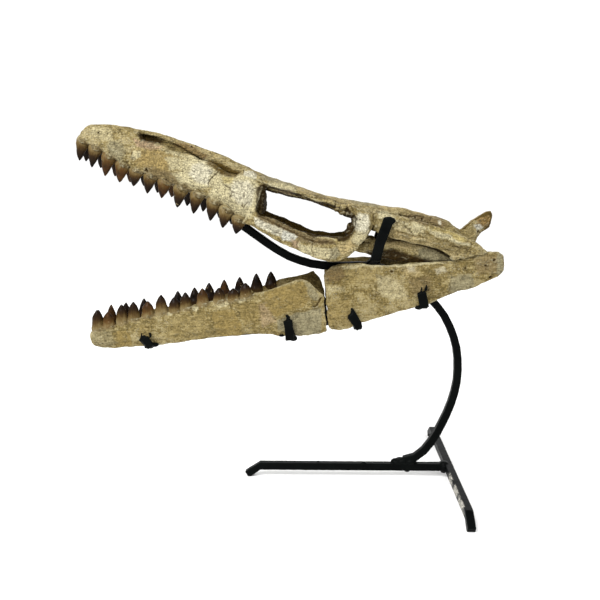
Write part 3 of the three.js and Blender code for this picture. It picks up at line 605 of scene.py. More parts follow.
SKULL_MARKS = Marks(
    patches=(
        # muzzle lower
        Patch(Tint.GREY, 0.6, 3, (
            (-235, 404), (-216, 399), (-199, 388), (-179, 379), (-166, 374), (-182, 370), (-208, 381),
            (-238, 392),
        )),
        # muzzle spot
        Patch(Tint.GREY, 0.75, 3, (
            (-200, 411), (-190, 410), (-183, 400), (-186, 384), (-198, 388), (-204, 401),
        )),
        # muzzle brown
        Patch(Tint.CREAM, 0.4, 2, ((-222, 425), (-199, 424), (-196, 411), (-214, 410), (-226, 415))),
        # nostril lip
        Patch(Tint.PINK, 0.8, 1.2, ((-175, 411), (-158, 409), (-137, 402), (-152, 399), (-169, 403))),
        # warm side
        Patch(Tint.WARM, 0.75, 3, (
            (-176, 400), (-145, 400), (-129, 391), (-133, 374), (-154, 374), (-170, 381), (-176, 390),
        )),
        # seam cream
        Patch(Tint.CREAM, 0.8, 1.5, ((-175, 399), (-165, 398), (-164, 391), (-172, 387), (-176, 390))),
        # low side
        Patch(Tint.DUSK, 0.7, 3, (
            (-160, 379), (-128, 376), (-113, 361), (-92, 347), (-106, 345), (-143, 358), (-166, 370),
        )),
        # streaks
        Patch(Tint.CREAM, 0.65, 1.2, ((-138, 391), (-122, 390), (-106, 384), (-112, 374), (-131, 378))),
        # plaster front
        Patch(Tint.CREAM, 0.9, 3, (
            (-115, 388), (-96, 392), (-81, 381), (-73, 370), (-83, 359), (-101, 356), (-120, 363),
            (-128, 373), (-115, 374),
        )),
        # plaster pale
        Patch(Tint.IVORY, 0.75, 2.5, (
            (-106, 383), (-93, 385), (-83, 374), (-87, 361), (-99, 363), (-108, 370),
        )),
        # plaster rear
        Patch(Tint.CREAM, 0.92, 3, (
            (-83, 359), (-72, 372), (-51, 372), (-34, 368), (-28, 354), (-32, 336), (-39, 323),
            (-56, 327), (-72, 341), (-88, 347),
        )),
        # plaster white
        Patch(Tint.IVORY, 0.7, 2.5, (
            (-60, 363), (-42, 365), (-33, 354), (-39, 336), (-53, 339), (-62, 350),
        )),
        # plaster yellow
        Patch(Tint.YELLOW, 0.7, 1.5, ((-73, 369), (-59, 369), (-59, 361), (-71, 361))),
        # plaster foot
        Patch(Tint.OLIVE, 0.55, 3, (
            (-91, 346), (-72, 336), (-51, 323), (-39, 319), (-51, 314), (-72, 325), (-92, 338),
        )),
        # nose bar top
        Patch(Tint.BUFF, 0.45, 2, (
            (-157, 421), (-122, 413), (-82, 395), (-44, 374), (-46, 369), (-83, 388), (-122, 405),
            (-157, 414),
        )),
        # nose bar red
        Patch(Tint.RUST, 0.75, 1.5, (
            (-127, 408), (-111, 404), (-90, 393), (-95, 388), (-114, 397), (-130, 403),
        )),
        # nose bar dark: painted shade on the rear, lower side of the nose bar
        Patch(Tint.BROWN, 0.85, 1.5, (
            (-90, 390), (-71, 382), (-53, 374), (-57, 368), (-74, 371), (-90, 383),
        )),
        # nostril rim
        Patch(Tint.CREAM, 0.55, 1, (
            (-136, 399), (-114, 394), (-99, 391), (-99, 388), (-118, 391), (-136, 396),
        )),
        # brow flecks
        Patch(Tint.IVORY, 0.8, 1, ((-48, 376), (-38, 374), (-31, 370), (-36, 366), (-47, 370))),
        # roof edge
        Patch(Tint.GREY, 0.7, 1.5, (
            (-27, 370), (17, 360), (69, 346), (109, 338), (107, 334), (63, 342), (17, 356), (-26, 365),
        )),
        # roof cream
        Patch(Tint.CREAM, 0.75, 1.5, ((-20, 363), (5, 360), (14, 354), (1, 351), (-20, 357))),
        # roof pink
        Patch(Tint.PINK, 0.6, 1.5, ((-10, 356), (8, 354), (10, 348), (-8, 351))),
        # roof side
        Patch(Tint.BUFF, 0.7, 2, ((13, 359), (51, 350), (77, 340), (74, 334), (49, 342), (17, 350))),
        # slot dark: painted shade inside the nostril slot
        Patch(Tint.UMBER, 0.95, 1, (
            (-168, 417), (-157, 417), (-138, 410), (-137, 406), (-148, 407), (-158, 409), (-165, 410),
        )),
        # slot rear
        Patch(Tint.TAN, 0.4, 1.2, (
            (-142, 411), (-116, 404), (-92, 395), (-95, 388), (-117, 396), (-140, 401),
        )),
        # roof under: painted shade under the roof bar
        Patch(Tint.BROWN, 0.9, 1.2, (
            (-23, 352), (5, 347), (28, 342), (54, 335), (75, 326), (70, 319), (49, 328), (17, 340),
            (-18, 345), (-27, 354),
        )),
        # orbit front: painted shade on the front wall of the orbit
        Patch(Tint.UMBER, 0.85, 1.5, ((-32, 357), (-23, 360), (-18, 353), (-23, 328), (-33, 332))),
        # orbit rear: painted shade on the rear wall of the orbit
        Patch(Tint.UMBER, 0.85, 1.2, (
            (70, 338), (78, 328), (82, 320), (81, 309), (73, 300), (59, 296), (58, 302), (70, 309),
            (74, 322), (68, 326),
        )),
        # cheek band
        Patch(Tint.DUSK, 0.85, 1.5, (
            (-30, 330), (-14, 324), (8, 312), (29, 303), (54, 298), (58, 293), (31, 294), (8, 301),
            (-17, 314), (-32, 322),
        )),
        # cheek white
        Patch(Tint.IVORY, 0.9, 1.5, ((-35, 324), (-21, 319), (-1, 310), (-1, 301), (-16, 307), (-32, 314))),
        # cheek block
        Patch(Tint.CHALK, 0.97, 1, ((-2, 310), (14, 302), (8, 296), (-2, 299))),
        # cheek pink
        Patch(Tint.PINK, 0.8, 1.5, ((6, 299), (16, 297), (17, 290), (9, 290))),
        # cheek cream
        Patch(Tint.CREAM, 0.8, 1.5, ((14, 295), (31, 292), (31, 281), (17, 285))),
        # cheek cream2
        Patch(Tint.CREAM, 0.75, 1.5, ((32, 291), (54, 288), (54, 277), (33, 279))),
        # cheek grey
        Patch(Tint.GREY, 0.85, 1.2, ((52, 288), (59, 291), (64, 283), (58, 276), (51, 277))),
        # cheek ochre
        Patch(Tint.BUFF, 0.85, 2, ((59, 292), (76, 301), (83, 299), (76, 288), (65, 280))),
        # postorbital
        Patch(Tint.IVORY, 0.85, 2, ((78, 319), (83, 329), (94, 328), (97, 317), (92, 306), (82, 307))),
        # postorbital low
        Patch(Tint.CREAM, 0.75, 2, ((81, 308), (94, 310), (92, 296), (83, 292), (76, 299))),
        # postorbital back
        Patch(Tint.OLIVE, 0.7, 1.5, ((98, 329), (104, 329), (106, 317), (100, 305), (95, 310))),
        # temple ring: painted highlight, a cream ring on the bone round the clamp
        Patch(Tint.CREAM, 0.85, 1.5, (
            (105, 330), (118, 330), (126, 321), (123, 315), (114, 323), (105, 324),
        )),
        # temple pale
        Patch(Tint.CREAM, 0.3, 2.5, (
            (127, 320), (143, 321), (156, 315), (159, 304), (143, 306), (127, 313),
        )),
        # temple white
        Patch(Tint.CREAM, 0.6, 1.5, ((142, 318), (151, 316), (155, 308), (145, 308))),
        # arch hollow: painted shade between the arch and the bone below it
        Patch(Tint.BROWN, 0.6, 2, ((114, 311), (132, 309), (145, 304), (139, 297), (119, 299))),
        # temple under
        Patch(Tint.BUFF, 0.45, 2, (
            (112, 312), (134, 308), (157, 302), (181, 293), (201, 286), (191, 275), (159, 282),
            (131, 292), (112, 299),
        )),
        # ridge
        Patch(Tint.CREAM, 0.8, 1, ((163, 310), (183, 304), (206, 295), (206, 292), (183, 299), (163, 306))),
        # ridge side
        Patch(Tint.YELLOW, 0.6, 1.5, (
            (161, 317), (181, 313), (204, 299), (199, 297), (181, 306), (161, 310),
        )),
        # squamosal low
        Patch(Tint.OLIVE, 0.7, 2, ((165, 302), (186, 297), (208, 291), (208, 284), (188, 285), (168, 292))),
        # parietal mauve
        Patch(Tint.MAUVE, 0.8, 1.5, (
            (138, 326), (157, 327), (175, 326), (187, 315), (180, 310), (161, 316), (140, 320),
        )),
        # parietal edge
        Patch(Tint.BUFF, 0.6, 1.5, (
            (108, 336), (133, 333), (161, 328), (175, 327), (169, 323), (138, 327), (109, 331),
        )),
        # parietal fleck
        Patch(Tint.IVORY, 0.9, 0.8, ((176, 319), (180, 319), (180, 315), (177, 315))),
        # horn base
        Patch(Tint.TAN, 0.6, 3, ((198, 309), (212, 316), (221, 316), (224, 295), (212, 297))),
        # horn face
        Patch(Tint.AMBER, 0.6, 2, ((222, 323), (243, 331), (246, 323), (243, 309), (236, 309), (224, 315))),
        # horn nodule
        Patch(Tint.CHALK, 0.75, 1, ((221, 313), (228, 315), (232, 310), (225, 306))),
        # pterygoid top
        Patch(Tint.BUFF, 0.8, 2, ((113, 300), (130, 301), (147, 291), (140, 287), (122, 289), (113, 291))),
        # pterygoid end
        Patch(Tint.GREY, 0.85, 2, (
            (151, 289), (168, 289), (186, 280), (201, 273), (187, 270), (167, 270), (152, 278),
        )),
        # pterygoid low: painted shade under the pterygoid, down to the jaw
        Patch(Tint.UMBER, 0.95, 3, (
            (95, 286), (122, 288), (141, 282), (164, 275), (177, 270), (159, 264), (93, 263),
        )),
        # orbit walls: painted shade on the inner walls of the orbit
        Patch(Tint.UMBER, 0.9, 3, (
            (-32, 364), (-11, 360), (23, 350), (57, 342), (77, 335), (85, 321), (78, 304), (64, 295),
            (42, 294), (15, 301), (-10, 311), (-31, 324),
        ), inner=True),
        # nostril walls: painted shade on the inner walls of the nostril
        Patch(Tint.UMBER, 0.6, 1.5, (
            (-174, 419), (-161, 421), (-138, 412), (-134, 404), (-143, 400), (-166, 406),
        ), inner=True),
        # nostril rear: painted shade along the groove behind the nostril
        Patch(Tint.BROWN, 0.4, 1.5, (
            (-138, 412), (-115, 404), (-92, 396), (-67, 384), (-69, 379), (-98, 389), (-120, 396),
            (-134, 399),
        ), inner=True),
    ),
    cracks=(
        Crack(2.0, -1.3, ((161, 312), (174, 307), (188, 301), (206, 294))),
        Crack(2.2, -1.1, ((127, 319), (143, 315), (161, 312))),
        Crack(1.6, 0.4, ((156, 307), (170, 302), (186, 295), (199, 289))),
        Crack(1.6, 0.6, ((127, 309), (143, 305), (157, 302))),
        Crack(1.6, 0.7, ((-19, 322), (-3, 313), (15, 304), (33, 297), (54, 295))),
        Crack(0.9, 0.5, ((-176, 400), (-176, 393), (-173, 388))),
        Crack(1.1, 0.8, ((-77, 374), (-83, 368), (-87, 362))),
        Crack(0.8, 0.6, ((-72, 362), (-67, 358), (-61, 355))),
        Crack(0.8, 0.6, ((-63, 354), (-59, 351), (-54, 349))),
        Crack(0.9, 0.7, ((-49, 340), (-46, 335), (-43, 340))),
        Crack(0.7, 0.5, ((-47, 351), (-47, 344))),
        Crack(0.7, 0.5, ((-67, 344), (-60, 340), (-53, 339))),
        Crack(0.7, 0.5, ((-43, 359), (-37, 354), (-32, 355))),
        Crack(0.6, 0.4, ((-53, 363), (-47, 359))),
        Crack(0.7, 0.4, ((-129, 364), (-117, 357), (-104, 354))),
        Crack(0.6, 0.4, ((-125, 374), (-112, 373))),
        Crack(0.9, 0.7, ((58, 342), (57, 336))),
        Crack(0.9, 0.6, ((20, 348), (27, 347), (36, 345))),
        Crack(0.7, 0.5, ((6, 351), (10, 348), (6, 345))),
        Crack(0.7, 0.5, ((-1, 311), (-2, 299))),
        Crack(0.7, 0.5, ((15, 299), (13, 288))),
        Crack(0.8, 0.5, ((31, 295), (32, 279))),
        Crack(0.8, 0.5, ((52, 290), (55, 283), (51, 276))),
        Crack(0.7, 0.4, ((59, 292), (64, 282))),
        Crack(0.8, 0.5, ((-19, 315), (-12, 309), (-3, 305))),
        Crack(0.8, 0.5, ((82, 305), (88, 307), (93, 310))),
        Crack(0.6, 0.4, ((84, 323), (92, 320))),
        Crack(1.0, 0.5, ((136, 321), (145, 320), (157, 318), (166, 315))),
        Crack(1.0, 0.6, ((133, 319), (138, 313), (144, 307))),
        Crack(0.9, 0.6, ((99, 328), (101, 317), (98, 306))),
        Crack(0.8, 0.5, ((183, 293), (199, 291), (208, 286))),
        Crack(1.2, 0.65, ((133, 325), (147, 323), (161, 322))),
        Crack(0.8, 0.5, ((223, 311), (230, 309), (235, 311))),
    ),
    pits=(
        Pit(2.6, 2.6, (-159, 375)),
        Pit(1.6, 1.6, (-109, 403)),
        Pit(1.3, 1.2, (-214, 418)),
        Pit(1.1, 1.0, (-89, 403)),
        Pit(1.4, 1.4, (134, 324)),
        Pit(1.4, 1.4, (144, 322)),
        Pit(1.3, 1.4, (151, 321)),
        Pit(1.2, 1.3, (158, 320)),
        Pit(1.2, 1.2, (85, 322)),
        Pit(1.5, 1.2, (-9, 295)),
        Pit(1.3, 1.2, (24, 348)),
        Pit(1.3, 1.2, (32, 347)),
        Pit(2.0, 1.5, (227, 305)),
    ),
)

JAW_MARKS = Marks(
    patches=(
        # hind top
        Patch(Tint.CREAM, 0.7, 1.2, (
            (52, 265), (86, 270), (132, 271), (166, 275), (188, 278), (211, 282), (224, 285),
            (222, 284), (188, 275), (134, 268), (86, 267), (54, 262),
        )),
        # hind front
        Patch(Tint.MAUVE, 0.85, 1.5, ((44, 266), (65, 266), (69, 257), (61, 251), (45, 251))),
        # hind corner: a dark spot, with painted shade at the bone's front top corner
        Patch(Tint.BROWN, 0.35, 2, ((44, 266), (65, 267), (70, 257), (63, 247), (45, 247))),
        # hind upper
        Patch(Tint.TAN, 0.5, 3, ((70, 266), (104, 266), (104, 250), (72, 248))),
        # hind stripe
        Patch(Tint.CREAM, 0.35, 1.6, ((49, 245), (69, 243), (69, 239), (49, 240))),
        # hind ochre
        Patch(Tint.OCHRE, 0.55, 2.5, ((46, 229), (75, 229), (75, 208), (78, 198), (50, 198))),
        # hind broken
        Patch(Tint.CREAM, 0.45, 3, (
            (105, 259), (120, 257), (134, 246), (141, 233), (123, 230), (107, 239),
        )),
        # hind pale
        Patch(Tint.BUFF, 0.55, 3, ((134, 269), (151, 269), (154, 258), (136, 258))),
        # hind fleck
        Patch(Tint.IVORY, 0.4, 2.4, ((139, 268), (147, 269), (149, 263), (141, 262))),
        # hind fleck2
        Patch(Tint.IVORY, 0.4, 2.2, ((170, 266), (180, 268), (183, 263), (173, 261))),
        # hind pink
        Patch(Tint.MAUVE, 0.5, 3, ((140, 255), (165, 257), (167, 240), (145, 235))),
        # hind grey
        Patch(Tint.GREY, 0.75, 2.5, ((187, 258), (211, 261), (215, 245), (199, 238), (188, 234))),
        # hind end
        Patch(Tint.MAUVE, 0.6, 3, ((213, 279), (238, 284), (242, 275), (238, 264), (218, 261))),
        # hind rim
        Patch(Tint.GREY, 0.85, 1.2, ((239, 284), (246, 285), (245, 259), (239, 261))),
        # gum chip a
        Patch(Tint.CREAM, 0.6, 1.3, ((-80, 221), (-67, 225), (-66, 221), (-78, 217))),
        # gum chip b
        Patch(Tint.CREAM, 0.6, 1.3, ((-58, 228), (-47, 230), (-46, 227), (-55, 223))),
        # gum chip c
        Patch(Tint.CREAM, 0.8, 1, ((-110, 217), (-103, 218), (-103, 214), (-109, 213))),
        # gum chip d
        Patch(Tint.CREAM, 0.8, 1, ((-142, 209), (-134, 211), (-134, 206), (-140, 206))),
        # chin
        Patch(Tint.GREY, 0.45, 3, ((-234, 188), (-207, 188), (-206, 166), (-232, 167))),
        # chin ochre
        Patch(Tint.OCHRE, 0.9, 1, ((-204, 186), (-185, 187), (-183, 170), (-202, 168))),
        # front ochre
        Patch(Tint.OCHRE, 0.5, 2, ((-175, 194), (-161, 195), (-161, 182), (-176, 182))),
        # mid pale
        Patch(Tint.TAN, 0.5, 4, ((-137, 204), (-95, 210), (-83, 184), (-114, 177), (-143, 180))),
        # mid ochre
        Patch(Tint.OCHRE, 0.95, 1, (
            (-87, 212), (-62, 216), (-53, 201), (-49, 181), (-75, 179), (-82, 191),
        )),
        # mid ochre2
        Patch(Tint.OCHRE, 0.5, 2, ((-58, 220), (-34, 225), (-30, 201), (-46, 196))),
        # rear pink
        Patch(Tint.PINK, 0.45, 3, ((-32, 221), (-22, 224), (-11, 202), (-27, 194))),
        # rear ochre
        Patch(Tint.OCHRE, 0.9, 1.2, ((-25, 235), (22, 250), (31, 237), (24, 221), (-11, 209), (-22, 218))),
        # rear grey
        Patch(Tint.GREY, 0.85, 1.2, ((-10, 204), (17, 213), (42, 220), (43, 187), (17, 185), (-9, 192))),
        # rear rim
        Patch(Tint.GREY, 0.75, 1.5, ((22, 249), (31, 244), (39, 233), (38, 227), (26, 233))),
    ),
    cracks=(
        Crack(0.8, 0.28, ((104, 266), (105, 250), (104, 230))),
        Crack(0.7, 0.28, ((188, 257), (188, 242), (189, 234))),
        Crack(0.7, 0.22, ((134, 246), (143, 237), (141, 230))),
        Crack(0.6, 0.22, ((205, 250), (212, 246))),
        Crack(0.7, 0.28, ((174, 263), (178, 267), (180, 261))),
        Crack(0.7, 0.22, ((77, 229), (80, 213), (76, 198))),
        Crack(1.0, 0.33, ((-13, 206), (6, 211), (24, 216), (40, 219))),
        Crack(1.1, 0.8, ((33, 221), (40, 226), (41, 230))),
        Crack(0.7, 0.22, ((-116, 209), (-108, 197), (-98, 180))),
        Crack(0.7, 0.22, ((-97, 207), (-91, 193), (-82, 187))),
        Crack(0.6, 0.22, ((-35, 224), (-27, 210), (-16, 197))),
        Crack(0.7, 0.22, ((-66, 226), (-64, 217), (-58, 213))),
        Crack(0.6, 0.22, ((-104, 214), (-96, 210))),
        Crack(0.6, 0.22, ((37, 202), (43, 197))),
    ),
    pits=(
        Pit(2.2, 1.8, (122, 262)),
        Pit(1.5, 1.5, (226, 270)),
        Pit(1.9, 2.0, (236, 278)),
        Pit(1.6, 1.6, (232, 257)),
        Pit(1.0, 0.9, (-56, 192)),
        Pit(1.0, 0.9, (-220, 171)),
        Pit(1.2, 1.1, (204, 268)),
    ),
)


# ---------------------------------------------------------------- finishes
@dataclass(frozen=True)
class FossilBone:
    """Mineralised bone with plaster repairs, brushed clean and sealed.

    The tan ground is blotched at the size of a thumb and a lentil. Fibres run along the bone, old
    plaster is paler and finely crazed, and brown dirt stays in the cracks and hollows. Painted
    shade darkens the hollows, the places that bones shut in and the faces that turn inwards. A
    thin dull coat lies over it all and keeps even the plaster from looking white.
    """

    name: str
    fibre_pitch: float  # degrees that the bone's grain stands off the floor, in the side view
    ground: tuple[str, str, str, str] = ("#84744C", "#A3915F", "#B9A878", "#D0C197")
    ground_stops: Quad = (0.18, 0.42, 0.6, 0.82)
    # dirt in pores and hollows, and painted shade where bones shut a point in
    earth_and_shade: str = "#3A290C"
    seam: str = "#4A3716"
    speck: str = "#5E4A28"
    fleck: str = "#E2DABB"
    varnish: str = "#BAB9B3"  # how much light the dull coat over the bone lets through
    gloss: float = 0.07  # the coat is thin, so that it hardly shines
    roughness: Pair = (0.52, 0.82)  # the least and the most, from lentil to lentil
    blotch: float = 26.0  # sizes in millimetres
    lentil: float = 7.0
    grit: float = 2.3  # the real grit is finer; drawn at the size that shows
    fibre: Triple = (13.0, 5.0, 1.1)
    bend: Pair = (2.2, 14.0)  # how far the patterns are bent, over what size
    grain: float = 1.7
    grain_depth: float = 0.3  # how much lighter and darker the finest grain is
    relief: float = 2.0  # depth of the bump that stands for it all
    craze: float = 4.6
    pore: float = 3.4

    def build(self) -> bpy.types.Material:
        """Make the material, which reads the skin's stain and marks attributes.

        Returns:
            The material.
        """
        material, tree, shader = new_material(self.name)
        noise = self.noises(tree)
        stain_and_shade = add_node(tree, "Attribute", attribute_name="stain_and_shade").outputs
        marks = add_node(tree, "Attribute", attribute_name="marks").outputs
        mark = add_node(tree, "SeparateColor", {0: marks["Color"]}).outputs
        painted = {
            "stain_and_shade": stain_and_shade["Color"], "cover": stain_and_shade["Alpha"], "plaster": marks["Alpha"],
            "crack": mark["Red"], "soil_and_shade": mark["Green"], "wear": mark["Blue"],
        }
        part = self.parts(tree, noise, painted)
        dullness = {0: noise["lentil"], 1: 0.3, 2: 0.7, 3: self.roughness[0], 4: self.roughness[1]}
        height = weighted_sum(tree, 0.0, (
            (noise["grit"], 0.7), (noise["fine"], 0.35), (noise["fibre"], 0.9), (noise["lentil"], 0.8),
            (part["craze"], -0.6), (part["pores"], -0.7), (painted["crack"], -0.5),
        ))
        bump = {"Height": height, "Strength": 1.0, "Distance": self.relief * MM}
        wire(tree, shader, {
            "Base Color": self.colour(tree, noise, painted, part),
            "Roughness": add_node(tree, "MapRange", dullness).outputs[0],
            "Normal": add_node(tree, "Bump", bump).outputs[0],
            "IOR": 1.5,
            "Specular IOR Level": self.gloss,
        })
        return material

    def noises(self, tree: bpy.types.NodeTree) -> Sockets:
        """Draw the patterns that colour and relief are made from.

        Args:
            tree: The material's node tree.

        Returns:
            The patterns' outputs, by name.
        """
        place = add_node(tree, "TexCoord").outputs["Object"]
        reach, size = self.bend
        wander = add_node(tree, "TexNoise", {"Vector": place, "Scale": scale_of(size), "Detail": 2.0})
        shift = {0: wander.outputs["Color"], 1: (reach * MM,) * 3, 2: place}
        bent = add_node(tree, "VectorMath", shift, operation="MULTIPLY_ADD").outputs[0]
        turn = (0, math.radians(-self.fibre_pitch), 0)
        stretch = tuple(scale_of(size) for size in self.fibre)
        along = add_node(tree, "Mapping", {"Vector": bent, "Rotation": turn, "Scale": stretch}).outputs[0]
        noise = {
            name: add_node(tree, "TexNoise", {"Vector": at, "Scale": scale, "Detail": detail}).outputs[0]
            for name, at, scale, detail in (
                ("blotch", bent, scale_of(self.blotch), 4.0),
                ("lentil", bent, scale_of(self.lentil), 5.0),
                ("grit", place, scale_of(self.grit), 3.0),
                ("fibre", along, 1.0, 4.0),
                ("fine", place, scale_of(self.grain), 1.0),
            )
        }
        for name, size, feature in (("craze", self.craze, "DISTANCE_TO_EDGE"), ("pore", self.pore, "F1")):
            cells = {"Vector": bent, "Scale": scale_of(size)}
            noise[name] = add_node(tree, "TexVoronoi", cells, feature=feature).outputs[0]
        return noise

    @staticmethod
    def parts(tree: bpy.types.NodeTree, noise: Sockets, painted: Sockets) -> Sockets:
        """Work out how much of each layer shows at each place.

        Args:
            tree: The material's node tree.
            noise: The patterns.
            painted: What is painted on the skin.

        Returns:
            The amounts' outputs, by layer.
        """
        limits = {  # where each share is 0 and where it is 1
            "stained_and_shaded": (painted["cover"], 0.02, 0.1),
            "gritty": (noise["grit"], 0.6, 0.7),
            "spotty": (noise["lentil"], 0.45, 0.6),
            "sandy": (noise["grit"], 0.42, 0.33),
            "light": (noise["blotch"], 0.45, 0.6),
            "crack": (noise["craze"], 0.055, 0.0),
            "crazed": (noise["lentil"], 0.5, 0.62),
            "plaster": (painted["plaster"], -0.15, 1.2),
            "hole": (noise["pore"], 0.17, 0.08),
            "porous": (noise["blotch"], 0.5, 0.58),
        }
        share = {
            key: add_node(tree, "MapRange", {0: value, 1: low, 2: high}).outputs[0]
            for key, (value, low, high) in limits.items()
        }
        # the edges of stains and of painted shade are ragged, because grit and lentils add to how far they
        # cover
        edges = ((painted["cover"], 1.15), (noise["lentil"], 0.35), (noise["grit"], 0.2))
        products = {  # two shares and the most that the layer may show
            "stain_and_shade": (weighted_sum(tree, -0.27, edges), share["stained_and_shaded"], 1.0),
            "specks": (share["gritty"], share["spotty"], 0.55),
            "flecks": (share["sandy"], share["light"], 0.6),
            "craze": (share["crack"], share["crazed"], 1.0),
            "pores": (share["hole"], share["porous"], 0.5),
            "wear": (painted["wear"], 0.45, 1.0),
        }
        part = {}
        for key, (one, other, most) in products.items():
            both = add_node(tree, "Math", {0: one, 1: other}, operation="MULTIPLY", use_clamp=True)
            capped = {0: both.outputs[0], 1: most}
            part[key] = add_node(tree, "Math", capped, operation="MULTIPLY").outputs[0]
        lines = {0: part["craze"], 1: share["plaster"]}
        part["craze"] = add_node(tree, "Math", lines, operation="MULTIPLY").outputs[0]
        return part

    def colour(
        self, tree: bpy.types.NodeTree, noise: Sockets, painted: Sockets, part: Sockets
    ) -> bpy.types.NodeSocket:
        """Lay flecks, stains and painted shade, cracks, pores, wear, and dirt with painted shade
        over the blotched ground.

        Args:
            tree: The material's node tree.
            noise: The patterns.
            painted: What is painted on the skin.
            part: How much of each layer shows.

        Returns:
            The colour's output.
        """
        blotches = (
            (noise["blotch"], 1.2), (noise["lentil"], 1.7), (noise["fibre"], 1.3), (noise["grit"], 1.7),
        )
        ground = add_node(tree, "ValToRGB", {0: weighted_sum(tree, -2.45, blotches)})
        set_stops(ground, zip(self.ground_stops, self.ground))
        streaks = ((noise["lentil"], 1.2), (noise["fibre"], 0.9), (noise["grit"], 1.5))
        shade = weighted_sum(tree, -0.8, streaks)
        span = {0: noise["fine"], 1: 0.32, 2: 0.68, 3: 1 - self.grain_depth, 4: 1 + self.grain_depth}
        grain = add_node(tree, "MapRange", span).outputs[0]
        shades, grains = (
            add_node(tree, "CombineColor", dict.fromkeys(range(3), grey)).outputs[0]
            for grey in (shade, grain)
        )
        stained_and_shaded = {0: 1.0, 6: painted["stain_and_shade"], 7: shades}
        stain_and_shade = add_node(tree, "Mix", stained_and_shaded, data_type="RGBA", blend_type="MULTIPLY").outputs[2]
        colour = laid_over(tree, ground.outputs[0], (
            (part["flecks"], linear(self.fleck)),
            (part["stain_and_shade"], stain_and_shade),
            (part["specks"], linear(self.speck)),
            (part["craze"], linear(self.speck)),
            (part["pores"], linear(self.earth_and_shade)),
            (part["wear"], linear(self.fleck)),
            # dirt in hollows, and painted shade where bones shut a point in
            (painted["soil_and_shade"], linear(self.earth_and_shade)),
            (painted["crack"], linear(self.seam)),
        ))
        for tint in (grains, linear(self.varnish)):
            coat = {0: 1.0, 6: colour, 7: tint}
            colour = add_node(tree, "Mix", coat, data_type="RGBA", blend_type="MULTIPLY").outputs[2]
        return colour


@dataclass(frozen=True)
class ToothEnamel:
    """Fossil enamel: a hard brown glaze that darkens to the tip, with fine upright streaks.

    Its gloss gives each crown a soft highlight against the dull bone.
    """

    name: str = "fossil enamel, glossy"
    colours: tuple[tuple[float, str], ...] = (
        (0.0, "#786B4B"), (0.24, "#5E4F30"), (0.4, "#3D2E16"),
        (0.56, "#20160A"), (0.74, "#0C0704"), (1.0, "#030201"),
    )  # from the root to the tip
    warm: str = "#4F3316"
    chip: str = "#A3946F"
    roughness: Pair = (0.22, 0.42)
    gloss: float = 0.04  # old glaze shines only a little
    streak: Triple = (1.1, 1.1, 16.0)  # sizes in millimetres
    cloud: float = 5.0
    relief: float = 0.25

    def build(self) -> bpy.types.Material:
        """Make the material, which reads the crown attribute: height, warmth and the row's painted shade.

        Returns:
            The material.
        """
        material, tree, shader = new_material(self.name)
        place = add_node(tree, "TexCoord").outputs["Object"]
        stretch = tuple(scale_of(size) for size in self.streak)
        upright = add_node(tree, "Mapping", {"Vector": place, "Scale": stretch}).outputs[0]
        streak = add_node(tree, "TexNoise", {"Vector": upright, "Scale": 1.0, "Detail": 4.0}).outputs[0]
        clouds = {"Vector": place, "Scale": scale_of(self.cloud), "Detail": 4.0}
        cloud = add_node(tree, "TexNoise", clouds).outputs[0]
        crown = add_node(tree, "Attribute", attribute_name="crown")
        part = add_node(tree, "SeparateColor", {0: crown.outputs["Color"]}).outputs
        # the blue part is the row's painted shade, which moves crowns of the far rows to darker glaze
        depths = ((part["Red"], 1.0), (cloud, 0.35), (streak, 0.3), (part["Blue"], 0.3))
        glaze = add_node(tree, "ValToRGB", {0: weighted_sum(tree, -0.33, depths)})
        set_stops(glaze, self.colours)
        warmer = add_node(tree, "MapRange", {0: cloud, 1: 0.3, 2: 0.6, 4: 0.7}).outputs[0]
        chipped = add_node(tree, "MapRange", {0: cloud, 1: 0.66, 2: 0.7, 4: 0.6}).outputs[0]
        streaky = add_node(tree, "MapRange", {0: streak, 1: 0.5, 2: 0.6}).outputs[0]
        warmth = add_node(tree, "Math", {0: part["Green"], 1: warmer}, operation="MULTIPLY").outputs[0]
        chips = add_node(tree, "Math", {0: chipped, 1: streaky}, operation="MULTIPLY").outputs[0]
        dullness = {0: streak, 1: 0.3, 2: 0.7, 3: self.roughness[0], 4: self.roughness[1]}
        height = weighted_sum(tree, 0.0, ((streak, 0.7), (cloud, 0.3), (chips, -0.5)))
        bump = {"Height": height, "Strength": 0.5, "Distance": self.relief * MM}
        layers = ((warmth, linear(self.warm)), (chips, linear(self.chip)))
        wire(tree, shader, {
            "Base Color": laid_over(tree, glaze.outputs[0], layers),
            "Roughness": add_node(tree, "MapRange", dullness).outputs[0],
            "Normal": add_node(tree, "Bump", bump).outputs[0],
            "IOR": 1.62,
            "Specular IOR Level": self.gloss,
        })
        return material


